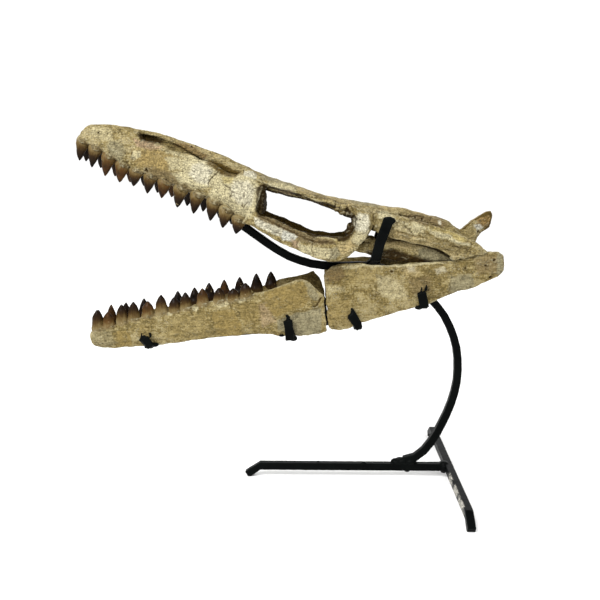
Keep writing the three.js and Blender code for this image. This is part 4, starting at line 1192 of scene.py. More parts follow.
@dataclass(frozen=True)
class PaintedSteel:
    """Mild steel bar brushed with black semi-gloss paint.

    The paint is thick enough to soften the edges and shows a faint orange peel. Where the bar has
    been dragged about it is rubbed through to the grey primer.
    """

    name: str = "mild steel, black semi-gloss paint"
    paint: str = "#020303"
    dust: str = "#060908"
    primer: str = "#B9B6AC"
    roughness: float = 0.28  # where the paint is neither dusty nor rubbed
    gloss: float = 0.035
    peel: float = 1.6  # sizes in millimetres
    cloud: float = 18.0
    relief: float = 0.25

    def build(self) -> bpy.types.Material:
        """Make the material, which reads the wear attribute: rubbed through, and edges.

        Returns:
            The material.
        """
        material, tree, shader = new_material(self.name)
        place = add_node(tree, "TexCoord").outputs["Object"]
        patterns = (
            {"Vector": place, "Scale": scale_of(size), "Detail": detail}
            for size, detail in ((self.peel, 3.0), (self.cloud, 4.0))
        )
        peel, cloud = (add_node(tree, "TexNoise", pattern).outputs[0] for pattern in patterns)
        wear = add_node(tree, "Attribute", attribute_name="wear")
        part = add_node(tree, "SeparateColor", {0: wear.outputs["Color"]}).outputs
        dusty = add_node(tree, "MapRange", {0: cloud, 1: 0.4, 2: 0.7, 4: 0.7}).outputs[0]
        thin = add_node(tree, "MapRange", {0: peel, 1: 0.4, 2: 0.55}).outputs[0]
        rubbed, edge = (
            add_node(tree, "Math", {0: part[channel], 1: thin}, operation="MULTIPLY").outputs[0]
            for channel in ("Red", "Green")
        )
        layers = ((dusty, linear(self.dust)), (edge, linear(self.dust)), (rubbed, linear(self.primer)))
        height = weighted_sum(tree, 0.0, ((peel, 0.6), (cloud, 0.4), (rubbed, -0.4)))
        bump = {"Height": height, "Strength": 0.35, "Distance": self.relief * MM}
        wire(tree, shader, {
            "Base Color": laid_over(tree, linear(self.paint), layers),
            "Roughness": weighted_sum(tree, self.roughness, ((cloud, 0.25), (rubbed, 0.3))),
            "Normal": add_node(tree, "Bump", bump).outputs[0],
            "IOR": 1.5,
            "Specular IOR Level": self.gloss,
        })
        return material


@dataclass(frozen=True)
class StudioPaper:
    """Matt white background paper, with no mark or fold."""

    name: str = "matt white paper"
    sheet: tuple[str, str] = ("#F9F9F8", "#FCFCFB")
    tooth: float = 3.0  # size of the paper's faint tooth, in millimetres

    def build(self) -> bpy.types.Material:
        """Make the material."""
        material, tree, shader = new_material(self.name)
        place = add_node(tree, "TexCoord").outputs["Object"]
        tooth = add_node(tree, "TexNoise", {"Vector": place, "Scale": scale_of(self.tooth)}).outputs[0]
        both = {0: tooth, 6: linear(self.sheet[0]), 7: linear(self.sheet[1])}
        colour = add_node(tree, "Mix", both, data_type="RGBA").outputs[2]
        wire(tree, shader, {"Base Color": colour, "Roughness": 0.9, "Specular IOR Level": 0.1})
        return material


# ---------------------------------------------------------------- bones
SKULL_PITCH = math.radians(16)
SKULL_TIP = (-241.6 + CAD_SHIFT, 410.6)  # where the tip of the snout stands, x and z in millimetres


def from_skull(x: float, z: float) -> Pair:
    """Turn a place in the skull's own side view, measured from its tip, into the model's x and z."""
    cos, sin = math.cos(SKULL_PITCH), math.sin(SKULL_PITCH)
    return SKULL_TIP[0] + cos * x + sin * z, SKULL_TIP[1] - sin * x + cos * z


@dataclass(frozen=True)
class Socket:
    """Where one tooth stands: its root in the bone and its tip, in millimetres."""

    root: np.ndarray
    tip: np.ndarray
    radius: float
    warmth: float = 0.0
    # painted shade of the crown's row; below zero the row is made lighter
    darkness: float = 0.0
    inset: float = 1.0  # how far the root leans in under the gum
    blunt: float = 0.12  # how much the tip is worn to a bulb

    @property
    def run(self) -> np.ndarray:
        """The way from the root to the tip."""
        return self.tip - self.root

    def locate(self, points: np.ndarray) -> tuple[np.ndarray, np.ndarray]:
        """Find points' places on the tooth.

        Args:
            points: Places in millimetres.

        Returns:
            Their heights as shares of the tooth's own, and their offsets from its middle line.
        """
        height = (points - self.root) @ self.run / (self.run @ self.run)
        return height, points - self.root - height[:, None] * self.run


@dataclass(frozen=True)
class Weathering:
    """How far time has moved a bone's surface; sizes in millimetres."""

    wander: Pair = (0.9, 11.0)  # how far, over what size
    swellings: Pair = (0.75, 24.0)
    dents: Pair = (0.5, 7.0)
    grain: Pair = (0.3, 2.7)
    plates: Triple = (0.25, 11.0, 0.8)  # crack depth, plate size, half width
    flakes: Pair = (0.45, 5.5)


@dataclass
class BoneShell:
    """Bones that hold together, cast as one skin, weathered, cracked, given stains and painted shade."""

    name: str
    nodes: tuple[str, ...]
    marks: Marks
    sockets: tuple[Socket, ...]
    side: int | None = None  # None for a shell that spans both sides
    seed: int = 1
    weathering: Weathering = field(default_factory=Weathering)
    lumps: tuple[Lump, ...] = ()
    inner_shade: float = 0.8  # how dark the painted shade is on the faces that turn to the middle

    VOXEL = 0.95
    SWELL = 0.3
    FACET_ROUNDS = 14
    ALONG = np.array([0.45, 1.0, 1.0])  # the relief is drawn out along the bone
    MIRROR_SHIFT = (7.0, -2.0)  # the right side is marked a little apart from the left
    DRIFTS = ((1.3, 8.0, 40), (0.8, 2.7, 50))  # how far drawn edges stray, over what size, seed step
    STUMP = 0.24  # share of a tooth's height that stays as its bony base
    SPIKE_TOP = 1.3  # height that no cast tooth reaches
    SPIKE_REACH = 1.15  # share of the socket's radius that a cast tooth fills
    SUNK = (0.12, 0.7)  # shares of its height and width that a cut tooth keeps over its base
    PLASTERS = (Tint.CREAM, Tint.IVORY, Tint.CHALK)
    WOBBLE = (1.4, 4.0)  # how far the plates' edges stray, over what size
    CRACKED = 22.0  # size of the places where the plates show
    CRACK_SPREAD = 1.5  # shares of a crack's width over which its sides slope and its dark reaches
    CRACK_DARK = 1.1
    PIT_SIDE = (1.15, 0.3)  # shares of a pit's radius between which its side slopes
    HOLLOW_ROUNDS = 3

    # where each effect starts and where it is full: by how squarely a face looks out
    CRACKS_OUT = (0.0, 0.45)
    PATCHES_OUT = (-0.4, 0.1)
    INNER_WALLS = (0.75, 0.35)
    TURNED_IN = (-0.1, -0.5)
    WEAR_OUT = (0.0, 0.3)
    # by the share of the rays round it that bones block
    SHUT = (0.45, 0.75)
    DEEP = (0.65, 0.95)
    OPEN = (0.45, 0.2)
    # by how far it lies under or over its surroundings, in millimetres
    HOLLOW = (0.09, 0.42)
    RIDGE = (0.08, 0.4)
    # by its distance from a tooth's middle line in radii, and by its height on the tooth
    GUM_ASIDE = (1.7, 0.8)
    GUM_HEIGHT = (-0.12, 0.36)

    RAYS = 44
    RAY_START = 1.6  # millimetres over the skin
    RAY_REACH = 42.0
    RAY_STRIDE = 9  # points from one that casts rays to the next
    RAY_LEAST = 0.12  # how far from the skin's plane a ray must point
    BLUR_ROUNDS = 14

    def build(self) -> Skin:
        """Cast, shape and paint the shell.

        Returns:
            The finished skin.
        """
        solids = [copy_of(node) for node in self.nodes] + [lump.build() for lump in self.lumps]
        skin = Skin(cast(self.name, solids, self.VOXEL, self.SWELL))
        self.trim_teeth(skin)
        skin.ease(self.FACET_ROUNDS)
        self.weather(skin)
        cracks = self.carve(skin)
        self.paint(skin, cracks)
        return skin

    def trim_teeth(self, skin: Skin) -> None:
        """Cut each cast tooth down to the bony base that its crown stands on."""
        for socket in self.sockets:
            height, aside = socket.locate(skin.points)
            near = np.linalg.norm(aside, axis=1) < socket.radius * self.SPIKE_REACH
            spike = near & (height > self.STUMP) & (height < self.SPIKE_TOP)
            tall, wide = self.SUNK
            sunk = self.STUMP + (height - self.STUMP) * tall
            inside = socket.root + sunk[:, None] * socket.run + wide * aside
            skin.points[spike] = inside[spike]

    def outward(self, skin: Skin, normals: np.ndarray) -> np.ndarray:
        """How squarely each point faces out to its own side, from -1 to 1."""
        if self.side is not None:
            return normals[:, 1] * self.side
        return normals[:, 1] * np.where(skin.points[:, 1] < 0, LEFT, RIGHT)

    def side_view(self, points: np.ndarray) -> np.ndarray:
        """Places in the side view, moved about so that no drawn edge is straight."""
        right = points[:, 1] > 0
        view = points[:, [0, 2]] + right[:, None] * self.MIRROR_SHIFT
        for axis, (reach, size, step) in itertools.product(range(2), self.DRIFTS):
            view[:, axis] += reach * lattice_noise(points, size, self.seed + step + axis)
        return view

    def weather(self, skin: Skin) -> None:
        """Wander, swell, dent and pit the surface."""
        wear = self.weathering
        rest = skin.points.copy()
        depth, size = wear.wander
        drift = [lattice_noise(rest, size, self.seed + axis) * depth for axis in range(3)]
        skin.points = rest + np.stack(drift, axis=1)
        relief = sum(
            depth * layered_noise(rest * self.ALONG, size, self.seed + 5 * k)
            for k, (depth, size) in enumerate((wear.swellings, wear.dents, wear.grain))
        )
        depth, size = wear.flakes
        flake = np.abs(layered_noise(rest * self.ALONG, size, self.seed + 77))
        relief -= depth * ramp(flake, 0.12, 0.0)  # thin grooves where the noise crosses zero
        skin.push(relief)

    def carve(self, skin: Skin) -> np.ndarray:
        """Open the cracks and pits.

        Args:
            skin: The weathered skin.

        Returns:
            How deep in a crack each point lies, from 0 to 1.
        """
        rest = skin.points
        facing = ramp(self.outward(skin, skin.normals()), *self.CRACKS_OUT)
        view = self.side_view(rest)
        plate_depth, size, width = self.weathering.plates
        stray, reach = self.WOBBLE
        wobble = np.stack([lattice_noise(rest, reach, self.seed + 60 + k) for k in range(3)], axis=1)
        plates = ramp(plate_edges(rest + stray * wobble, size, self.seed + 90), width, 0.0)
        plates *= ramp(lattice_noise(rest, self.CRACKED, self.seed + 95), -0.1, 0.25)
        depth = plate_depth * plates
        dark = 0.22 * plates
        for crack in self.marks.cracks:
            away = line_distance(view, crack.line)
            depth += crack.depth * (ramp(away, crack.width * self.CRACK_SPREAD, 0.0) * facing)
            seam = ramp(away, crack.width * self.CRACK_DARK, 0.0) * facing
            dark = np.maximum(dark, seam * min(1.0, crack.depth))
        for pit in self.marks.pits:
            away = np.linalg.norm(view - np.array(pit.place), axis=1)
            sunk = ramp(away / pit.radius, *self.PIT_SIDE) * facing
            depth += pit.depth * sunk
            dark = np.maximum(dark, 0.9 * sunk)
        skin.push(-depth)
        return dark

    def paint(self, skin: Skin, cracks: np.ndarray) -> None:
        """Lay on the stains, the plaster, the dirt in hollows and the wear on ridges.

        Painted shade is laid on the inner patches, in hollows, where bones shut a point in and on
        faces that turn to the middle.
        """
        normals = skin.normals()
        outward = self.outward(skin, normals)
        facing, inner = ramp(outward, *self.PATCHES_OUT), ramp(outward, *self.INNER_WALLS)
        view = self.side_view(skin.points)
        stain_and_shade = np.zeros((skin.count, 4))
        plaster = np.zeros(skin.count)
        for patch in self.marks.patches:
            away = outline_distance(view, patch.outline)
            share = patch.cover * ramp(away, patch.edge, -patch.edge) * (inner if patch.inner else facing)
            self.lay(stain_and_shade, patch.tint, share)
            plaster = plaster * (1 - share) + share * (patch.tint in self.PLASTERS)
        self.paint_gums(skin, stain_and_shade)
        # painted shade: brown where the bones shut a point in and on faces that turn to the middle, umber
        # where it is deepest
        shut = self.shelter(skin, normals)
        deep = ramp(shut, *self.DEEP)
        turned_in = self.inner_shade * ramp(outward, *self.TURNED_IN)
        self.lay(stain_and_shade, Tint.BROWN, np.maximum(0.4 * ramp(shut, *self.SHUT), turned_in))
        self.lay(stain_and_shade, Tint.UMBER, 0.4 * deep)
        hollow = skin.hollow(self.HOLLOW_ROUNDS)
        # dirt in the hollows, and painted shade where bones shut the point in deep
        soil_and_shade = np.clip(0.6 * ramp(hollow, *self.HOLLOW) + 0.35 * deep, 0, 0.9)
        wear = ramp(-hollow, *self.RIDGE) * ramp(shut, *self.OPEN) * ramp(outward, *self.WEAR_OUT)
        skin.paint("stain_and_shade", stain_and_shade)
        skin.paint("marks", np.stack([cracks, soil_and_shade, wear, plaster], axis=1))

    @staticmethod
    def lay(stain_and_shade: np.ndarray, tint: Tint, share: np.ndarray) -> None:
        """Lay one tint over what is there.

        Args:
            stain_and_shade: Colour and cover of each point, changed in place.
            tint: The colour.
            share: How much of it each point takes, from 0 to 1.
        """
        left = stain_and_shade[:, 3] * (1 - share)
        total = share + left
        mixed = share[:, None] * np.array(linear(tint.value)[:3]) + left[:, None] * stain_and_shade[:, :3]
        stain_and_shade[:, :3] = mixed / np.maximum(total, 1e-6)[:, None]
        stain_and_shade[:, 3] = total

    def paint_gums(self, skin: Skin, stain_and_shade: np.ndarray) -> None:
        """Darken the bony bases that the crowns stand on."""
        darkest = np.zeros(skin.count)
        for socket in self.sockets:
            height, aside = socket.locate(skin.points)
            away = np.linalg.norm(aside, axis=1) / socket.radius
            darkest = np.maximum(darkest, ramp(away, *self.GUM_ASIDE) * ramp(height, *self.GUM_HEIGHT))
        self.lay(stain_and_shade, Tint.DUSK, 0.75 * ramp(darkest, 0.0, 0.5))
        self.lay(stain_and_shade, Tint.BROWN, 0.75 * ramp(darkest, 0.35, 1.0))

    def shelter(self, skin: Skin, normals: np.ndarray) -> np.ndarray:
        """How far each point is shut in by the bones around it.

        Args:
            skin: The shaped skin.
            normals: Its outward directions.

        Returns:
            Values from 0, open, to 1, shut in.
        """
        turn = math.pi * (3 - math.sqrt(5))  # the golden angle spreads the rays evenly
        heights = (np.arange(self.RAYS) + 0.5) / self.RAYS * 2 - 1
        flat = np.sqrt(1 - heights**2)
        around = np.arange(self.RAYS) * turn
        sphere = np.stack([flat * np.cos(around), flat * np.sin(around), heights], axis=1)
        known = np.zeros((skin.count, 2))  # share of rays blocked, and how well it is known
        tree = bone_tree()
        for index in range(0, skin.count, self.RAY_STRIDE):
            normal = normals[index]
            start = Vector(skin.points[index] + normal * self.RAY_START)
            rays = sphere[sphere @ normal > self.RAY_LEAST]
            blocked = sum(tree.ray_cast(start, Vector(ray), self.RAY_REACH)[0] is not None for ray in rays)
            known[index] = blocked / max(len(rays), 1), 1.0
        known = skin.blur(known, self.BLUR_ROUNDS)
        return known[:, 0] / np.maximum(known[:, 1], 1e-6)


@cache
def bone_tree() -> BVHTree:
    """All the bones' solids in one ray-casting tree, in millimetres, made once."""
    points: list[Vector] = []
    faces: list[list[int]] = []
    for name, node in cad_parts.items():
        if not name.startswith("stand_"):
            first = len(points)
            points += [v.co / MM for v in node.data.vertices]
            faces += [[first + i for i in p.vertices] for p in node.data.polygons]
    return BVHTree.FromPolygons(points, faces)


def paired(*stems: str) -> tuple[str, ...]:
    """Names of the left and right nodes of each stem."""
    return tuple(stem + "_" + label for stem in stems for label in SIDES)


@dataclass
class Skull:
    """The skull, cast whole and then parted where its bones meet."""

    seed: int = 3
    seams: tuple[Outline, ...] = (
        ((12, -18), (62, 31)), ((220, -60), (220, 60)), ((337, -30), (331, 60)),
    )  # in the skull's own side view, from the snout back
    sections: tuple[tuple[str, str, tuple[str, ...]], ...] = (
        ("skull_muzzle", "tan_bone", ("premaxilla",)),
        ("skull_snout", "tan_bone", paired("maxilla", "prefrontal")),
        ("skull_orbits", "pale_bone", ("frontal", *paired("jugal", "postorbital"))),
        ("skull_temples", "brown_bone", (
            "parietal", "braincase", "occipital_process",
            *paired("temporal_arch", "squamosal", "quadrate", "pterygoid"),
        )),
    )
    tooth_radius: float = 6.7
    lean: float = 0.6
    right_shift: float = 3.6
    gum_inset: float = 7.5
    root_inset: float = 3.6
    root_lift: float = 5.0  # how far the roots reach into the bone
    first_root: float = 4.0  # no root stands nearer to the tip of the snout
    tips: tuple[Pair, ...] = (
        (4.8, -23.4), (22.1, -26.6), (40.1, -31.6), (58.4, -33.7), (75.2, -33.4), (92.8, -37),
        (110.2, -37.4), (130.6, -42.6), (150.6, -44.1), (171.4, -46.4), (187.4, -50), (204.1, -52),
    )
    snout: tuple[Triple, ...] = (
        (2, 0, 11.5), (8, -1.8, 15), (19, -3, 19), (35, -8, 22.5), (52, -14, 25), (63, -16, 26.3),
        (71, -17, 27), (100, -19.5, 29), (120, -21.3, 31), (148, -23, 33.5), (162, -24.5, 35),
        (176, -26.5, 36.5), (186, -30, 38), (195, -35, 40), (207, -39, 41.5), (219, -37.5, 42),
    )  # x, lower edge, half width
    warm_teeth: tuple[int, ...] = (2, 3, 6)
    warmth: Pair = (0.15, 0.9)  # most teeth, warm teeth
    # painted shade: the crowns of the far row are darker
    far_row_shade: float = 1.6
    fills: tuple[Lump, ...] = (
        # thick walls of the orbit, and the ragged corner that hangs into it
        Lump((-27.5, -20, 357), (4.5, 9, 8)), Lump((-28, -20, 346), (4.5, 9, 9)),
        Lump((-28, -20, 335), (4.5, 9, 9)), Lump((59, -31, 332.5), (4.5, 5, 3.4)),
        Lump((65, -31, 329), (4, 5, 3.6)), Lump((70.5, -31, 327.5), (3.2, 5, 3)),
        Lump((76, -31, 327.5), (4.5, 5, 4)),
        # the blunt end of the snout
        Lump((-229.5, 0, 421.3), (4.5, 9, 4.2)),
        # the sloping floor of each nostril
        Lump((-163, -15.5, 405.5), (5.5, 5.5, 5)), Lump((-156, -15.5, 404.7), (6, 5.5, 5)),
        Lump((-148, -15.5, 402.6), (6, 5.5, 5)), Lump((-140, -15.5, 400), (6, 5.5, 4.5)),
        # the rear of the arch, where it comes down to the lower jaw
        Lump((192, -47, 279.5), (6, 2.5, 3)), Lump((201, -47.5, 280.8), (6, 2.5, 3)),
        Lump((210, -48, 283.2), (6, 2.5, 3)), Lump((219, -48.3, 285.2), (6, 2.5, 3)),
        # round the gap under the temple
        Lump((94, -25, 298), (4, 6, 3.6)), Lump((102.5, -25, 311.5), (5, 6, 3.4)),
        Lump((101, -25, 294.5), (5, 6, 3.4)),
    )
    left_fills: tuple[Lump, ...] = (  # the rear wall of the left orbit
        Lump((80.5, -26, 321), (4.5, 7, 7)), Lump((79.5, -26, 313), (4.5, 7, 7)),
        Lump((74, -26, 305.5), (6, 7, 4.5)), Lump((75.5, -24, 311.5), (4.5, 6, 5.5)),
    )

    def sockets(self, side: int) -> tuple[Socket, ...]:
        """Where the upper teeth of one side stand."""
        x_at, low, half = np.array(self.snout).T
        found = []
        for index, (x, z) in enumerate(self.tips):
            tip_x = x + self.right_shift * (side == RIGHT)
            root_x = tip_x + self.lean
            aside = side * (np.interp(root_x, x_at, half) - self.gum_inset)
            edge = float(np.interp(root_x, x_at, low))
            ends = from_skull(max(root_x, self.first_root), edge + self.root_lift), from_skull(tip_x, z)
            root, tip = (np.array([end_x, aside, end_z]) for end_x, end_z in ends)
            warmth = self.warmth[index in self.warm_teeth]
            darkness = self.far_row_shade * (side == RIGHT)
            found.append(Socket(root, tip, self.tooth_radius, warmth, darkness, self.root_inset))
        return tuple(found)

    def build(self, bone: bpy.types.Material) -> None:
        """Cast the skull and part it into its sections."""
        nodes = tuple(node for _, _, members in self.sections for node in members)
        both = self.sockets(LEFT) + self.sockets(RIGHT)
        lumps = self.fills + self.left_fills + tuple(lump.mirrored() for lump in self.fills)
        skin = BoneShell("skull", nodes, SKULL_MARKS, both, seed=self.seed, lumps=lumps).build()
        whole = skin.piece
        skin.normals()
        for index, (name, slot, members) in enumerate(self.sections):
            part = bpy.data.objects.new(name, whole.data.copy())
            part.data.name = name
            bpy.context.scene.collection.objects.link(part)
            if index > 0:
                self.cut(part, self.seams[index - 1], keep_rear=True)
            if index < len(self.seams):
                self.cut(part, self.seams[index], keep_rear=False)
            show(part, bone, members)
        bpy.data.objects.remove(whole)

    @staticmethod
    def cut(part: bpy.types.Object, seam: Outline, keep_rear: bool) -> None:
        """Cut a part off along a seam and close the cut.

        Args:
            part: The part, which keeps one side of the seam.
            seam: Two points of the seam, the lower first, in the skull's own side view.
            keep_rear: Whether the rear of the seam is what stays.
        """
        low, high = (np.array(from_skull(*point)) for point in seam)
        run = high - low
        rearward = Vector((run[1], 0, -run[0])).normalized()
        gather([part])
        bpy.ops.object.mode_set(mode="EDIT")
        bpy.ops.mesh.select_all(action="SELECT")
        bpy.ops.mesh.bisect(
            plane_co=Vector((low[0], 0, low[1])) * MM, plane_no=rearward, use_fill=True,
            clear_inner=keep_rear, clear_outer=not keep_rear, threshold=1e-7,
        )
        bpy.ops.mesh.mark_sharp()
        bpy.ops.object.mode_set(mode="OBJECT")


@dataclass
class LowerJaws:
    """The two lower jaws, each a dentary and the bones behind it."""

    seed: int = 11
    tip: Pair = (-232.5, 9.0)  # x and half spacing where the jaws come closest
    splay: float = 0.075
    tooth_radius: float = 6.3
    lean: float = 2.4
    root_depth: float = 5.0
    upper_edge: tuple[Pair, ...] = (
        (-237, 183), (-234.4, 187.4), (-224, 189.6), (-209, 194.6), (-188, 201), (-156, 209.3),
        (-127, 214.6), (-93, 224), (-62, 229), (-30, 236.5), (-6, 244.4),
    )
    tips: dict[int, tuple[Pair, ...]] = field(default_factory=lambda: {
        LEFT: (
            (-229.7, 211.4), (-216.4, 209.4), (-199.5, 218.5), (-185, 221.9), (-167.7, 223),
            (-151.3, 230.6), (-135.5, 228.4), (-122, 234.4), (-101.5, 239.4), (-81.7, 240.5),
            (-65.1, 240), (-50.5, 246.6),
        ),
        RIGHT: (
            (-233, 208), (-217.5, 214.4), (-199.6, 216.9), (-177.8, 221.7), (-157, 226),
            (-136.7, 230.4), (-116.3, 234.6), (-98.6, 240.2), (-80.2, 244), (-61.3, 247.2),
            (-41, 251.3), (-23.2, 253.6),
        ),
    })
    warm_teeth: tuple[int, ...] = (1, 4, 8)
    warmth: Pair = (0.2, 0.85)  # most teeth, warm teeth
    # blunt tips are wear; darkness is painted shade, darker on the far row and a little lighter on the near
    # row
    wear: dict[int, dict[str, float]] = field(default_factory=lambda: {
        LEFT: {"darkness": -0.25, "blunt": 0.5}, RIGHT: {"darkness": 1.5},
    })
    # painted shade on the faces that turn to the middle, lighter than on the skull
    inner_shade: float = 0.35
    heel: tuple[Lump, ...] = (  # the squared end of the left jaw
        Lump((241.5, -44, 277), (4.5, 5, 4)), Lump((239.5, -44, 262.5), (4, 5, 4)),
        Lump((242.8, -44, 279.3), (2.6, 3.5, 2.6)),
    )
    brow: tuple[Lump, ...] = (  # the front edge of the hind bone, close behind the dentary
        Lump((50.2, -31.5, 250), (4.4, 3.2, 10)), Lump((50.2, -31.5, 238), (4.2, 3.2, 10)),
        Lump((50.4, -31.5, 226), (4, 3.2, 10)), Lump((51.2, -31.5, 214), (3.6, 3.2, 8)),
    )

    def sockets(self, side: int) -> tuple[Socket, ...]:
        """Where the lower teeth of one side stand."""
        x_at, top = np.array(self.upper_edge).T
        found = []
        for index, (x, z) in enumerate(self.tips[side]):
            root_x = x + self.lean
            aside = side * (self.tip[1] + self.splay * (root_x - self.tip[0]))
            root = np.array([root_x + CAD_SHIFT, aside, np.interp(root_x, x_at, top) - self.root_depth])
            tip = np.array([x + CAD_SHIFT, aside, z])
            warmth = self.warmth[index in self.warm_teeth]
            found.append(Socket(root, tip, self.tooth_radius, warmth, **self.wear[side]))
        return tuple(found)

    def build(self, bone: bpy.types.Material) -> None:
        """Cast both bones of both jaws."""
        hind_lumps = {LEFT: self.brow + self.heel, RIGHT: tuple(lump.mirrored() for lump in self.brow)}
        for label, side in SIDES.items():
            shells = (
                ("jaw_dentary_", ("dentary_",), "tan_bone", self.sockets(side), ()),
                ("jaw_hind_", ("surangular_", "articular_"), "brown_bone", (), hind_lumps[side]),
            )
            for number, (name, nodes, slot, sockets, lumps) in enumerate(shells):
                members = tuple(node + label for node in nodes)
                seed = self.seed + 10 * number + side
                shell = BoneShell(
                    name + label, members, JAW_MARKS, sockets, side, seed,
                    lumps=lumps, inner_shade=self.inner_shade,
                )
                skin = shell.build()
                skin.normals()
                show(skin.piece, bone, members)


@dataclass
class ToothRows:
    """The crowns: one is modelled, then copied into every socket."""

    sides: int = 18
    profile: tuple[Pair, ...] = (
        (-0.16, 0.5), (-0.08, 0.86), (0.03, 1.03), (0.15, 1.05), (0.27, 0.99), (0.4, 0.88), (0.53, 0.75),
        (0.66, 0.6), (0.79, 0.42), (0.9, 0.245), (0.965, 0.12), (1.0, 0.03),
    )  # height and radius, as shares of the tooth's own
    flatness: float = 0.86
    keel: float = 0.13
    flute: float = 0.018
    flutes: int = 9
    hook: float = 0.05
    spread: float = 0.05  # how far the crowns' widths differ
    heel: float = 0.34  # how much further the root reaches back than forward
    chips: Pair = (0.28, 3.2)  # depth and size of the enamel's unevenness, in millimetres
    seed: int = 29

    # heights at which each of these starts and is full
    HEEL_SPAN = (0.62, 0.1)
    BLUNT_SPAN = (0.25, 0.8)
    INSET_SPAN = (0.42, 0.0)
    CHIP_SPAN = (1.0, 0.8)

    def model(self) -> bpy.types.Object:
        """Model one crown of unit height and radius over the origin.

        Returns:
            The crown, with a cutting edge before and behind.
        """
        deselect()
        first = self.profile[0]
        bpy.ops.mesh.primitive_circle_add(
            vertices=self.sides, radius=first[1], fill_type="NGON", location=(0, 0, first[0])
        )
        crown = bpy.context.object
        bpy.ops.object.mode_set(mode="EDIT")
        for (low, wide), (high, narrow) in itertools.pairwise(self.profile):
            bpy.ops.mesh.extrude_region_move(TRANSFORM_OT_translate={"value": (0, 0, high - low)})
            share = narrow / wide
            bpy.ops.transform.resize(value=(share, share, 1), center_override=(0, 0, high))
        bpy.ops.mesh.merge(type="CENTER")
        bpy.ops.mesh.select_all(action="SELECT")
        bpy.ops.mesh.normals_make_consistent(inside=False)
        bpy.ops.object.mode_set(mode="OBJECT")
        settle()
        apply_modifier(crown, "SUBSURF", levels=1, render_levels=1)
        return crown

    def place(self, crown: bpy.types.Object, socket: Socket, draw: np.random.Generator) -> bpy.types.Object:
        """Copy the crown into one socket.

        Args:
            crown: The crown that is copied.
            socket: Where it stands.
            draw: Source of the small differences between teeth.

        Returns:
            The copy.
        """
        tooth = bpy.data.objects.new("crown", crown.data.copy())
        bpy.context.scene.collection.objects.link(tooth)
        skin = Skin(tooth)
        unit = skin.points * MM  # the crown is modelled with one metre as its unit
        around = np.arctan2(unit[:, 1], unit[:, 0])
        height = unit[:, 2]
        swell = 1 + self.keel * np.abs(np.cos(around)) ** 8 + self.flute * np.cos(self.flutes * around)
        swell *= 1.0 + self.spread * draw.uniform(-1, 1)
        swell *= 1 + self.heel * np.clip(-np.cos(around), 0, 1) * ramp(height, *self.HEEL_SPAN) ** 1.5
        swell *= 1 + socket.blunt * ramp(height, *self.BLUNT_SPAN)
        run = socket.run
        up = run / np.linalg.norm(run)
        fore = np.cross((0.0, 1.0, 0.0), up)
        fore *= np.sign(fore[0]) or 1.0
        skin.points = (
            socket.root + height[:, None] * run
            + (unit[:, 0] * swell * socket.radius)[:, None] * fore
            + (unit[:, 1] * swell * socket.radius * self.flatness)[:, None] * np.array([0.0, 1.0, 0.0])
        )
        skin.points[:, 1] -= np.sign(socket.root[1]) * socket.inset * ramp(height, *self.INSET_SPAN)
        skin.points[:, 0] -= self.hook * np.linalg.norm(run) * np.sin(math.pi * height)
        depth, size = self.chips
        chips = layered_noise(skin.points, size, int(draw.integers(1, 9999)))
        skin.push(depth * chips * ramp(height, *self.CHIP_SPAN))
        skin.normals()
        tone = np.clip(height, 0, 1)
        warm = np.full(skin.count, socket.warmth * draw.uniform(0.7, 1.0))
        # the row's painted shade, plus a random tone for each tooth
        dark = np.full(skin.count, socket.darkness + draw.uniform(-0.15, 0.25))
        skin.paint("crown", np.stack([tone, warm, dark, np.ones(skin.count)], axis=1))
        return tooth

    def build(self, skull: Skull, jaws: LowerJaws, enamel: bpy.types.Material) -> None:
        """Set all four rows."""
        crown = self.model()
        draw = np.random.default_rng(self.seed)
        for label, side in SIDES.items():
            rows = (
                ("teeth_upper_", skull.sockets(side), ("premaxilla", "maxilla_" + label)),
                ("teeth_lower_", jaws.sockets(side), ("dentary_" + label,)),
            )
            for name, sockets, nodes in rows:
                row = gather([self.place(crown, socket, draw) for socket in sockets])
                row.name = row.data.name = name + label
                row.data.shade_smooth()
                show(row, enamel, nodes)
        bpy.data.objects.remove(crown)


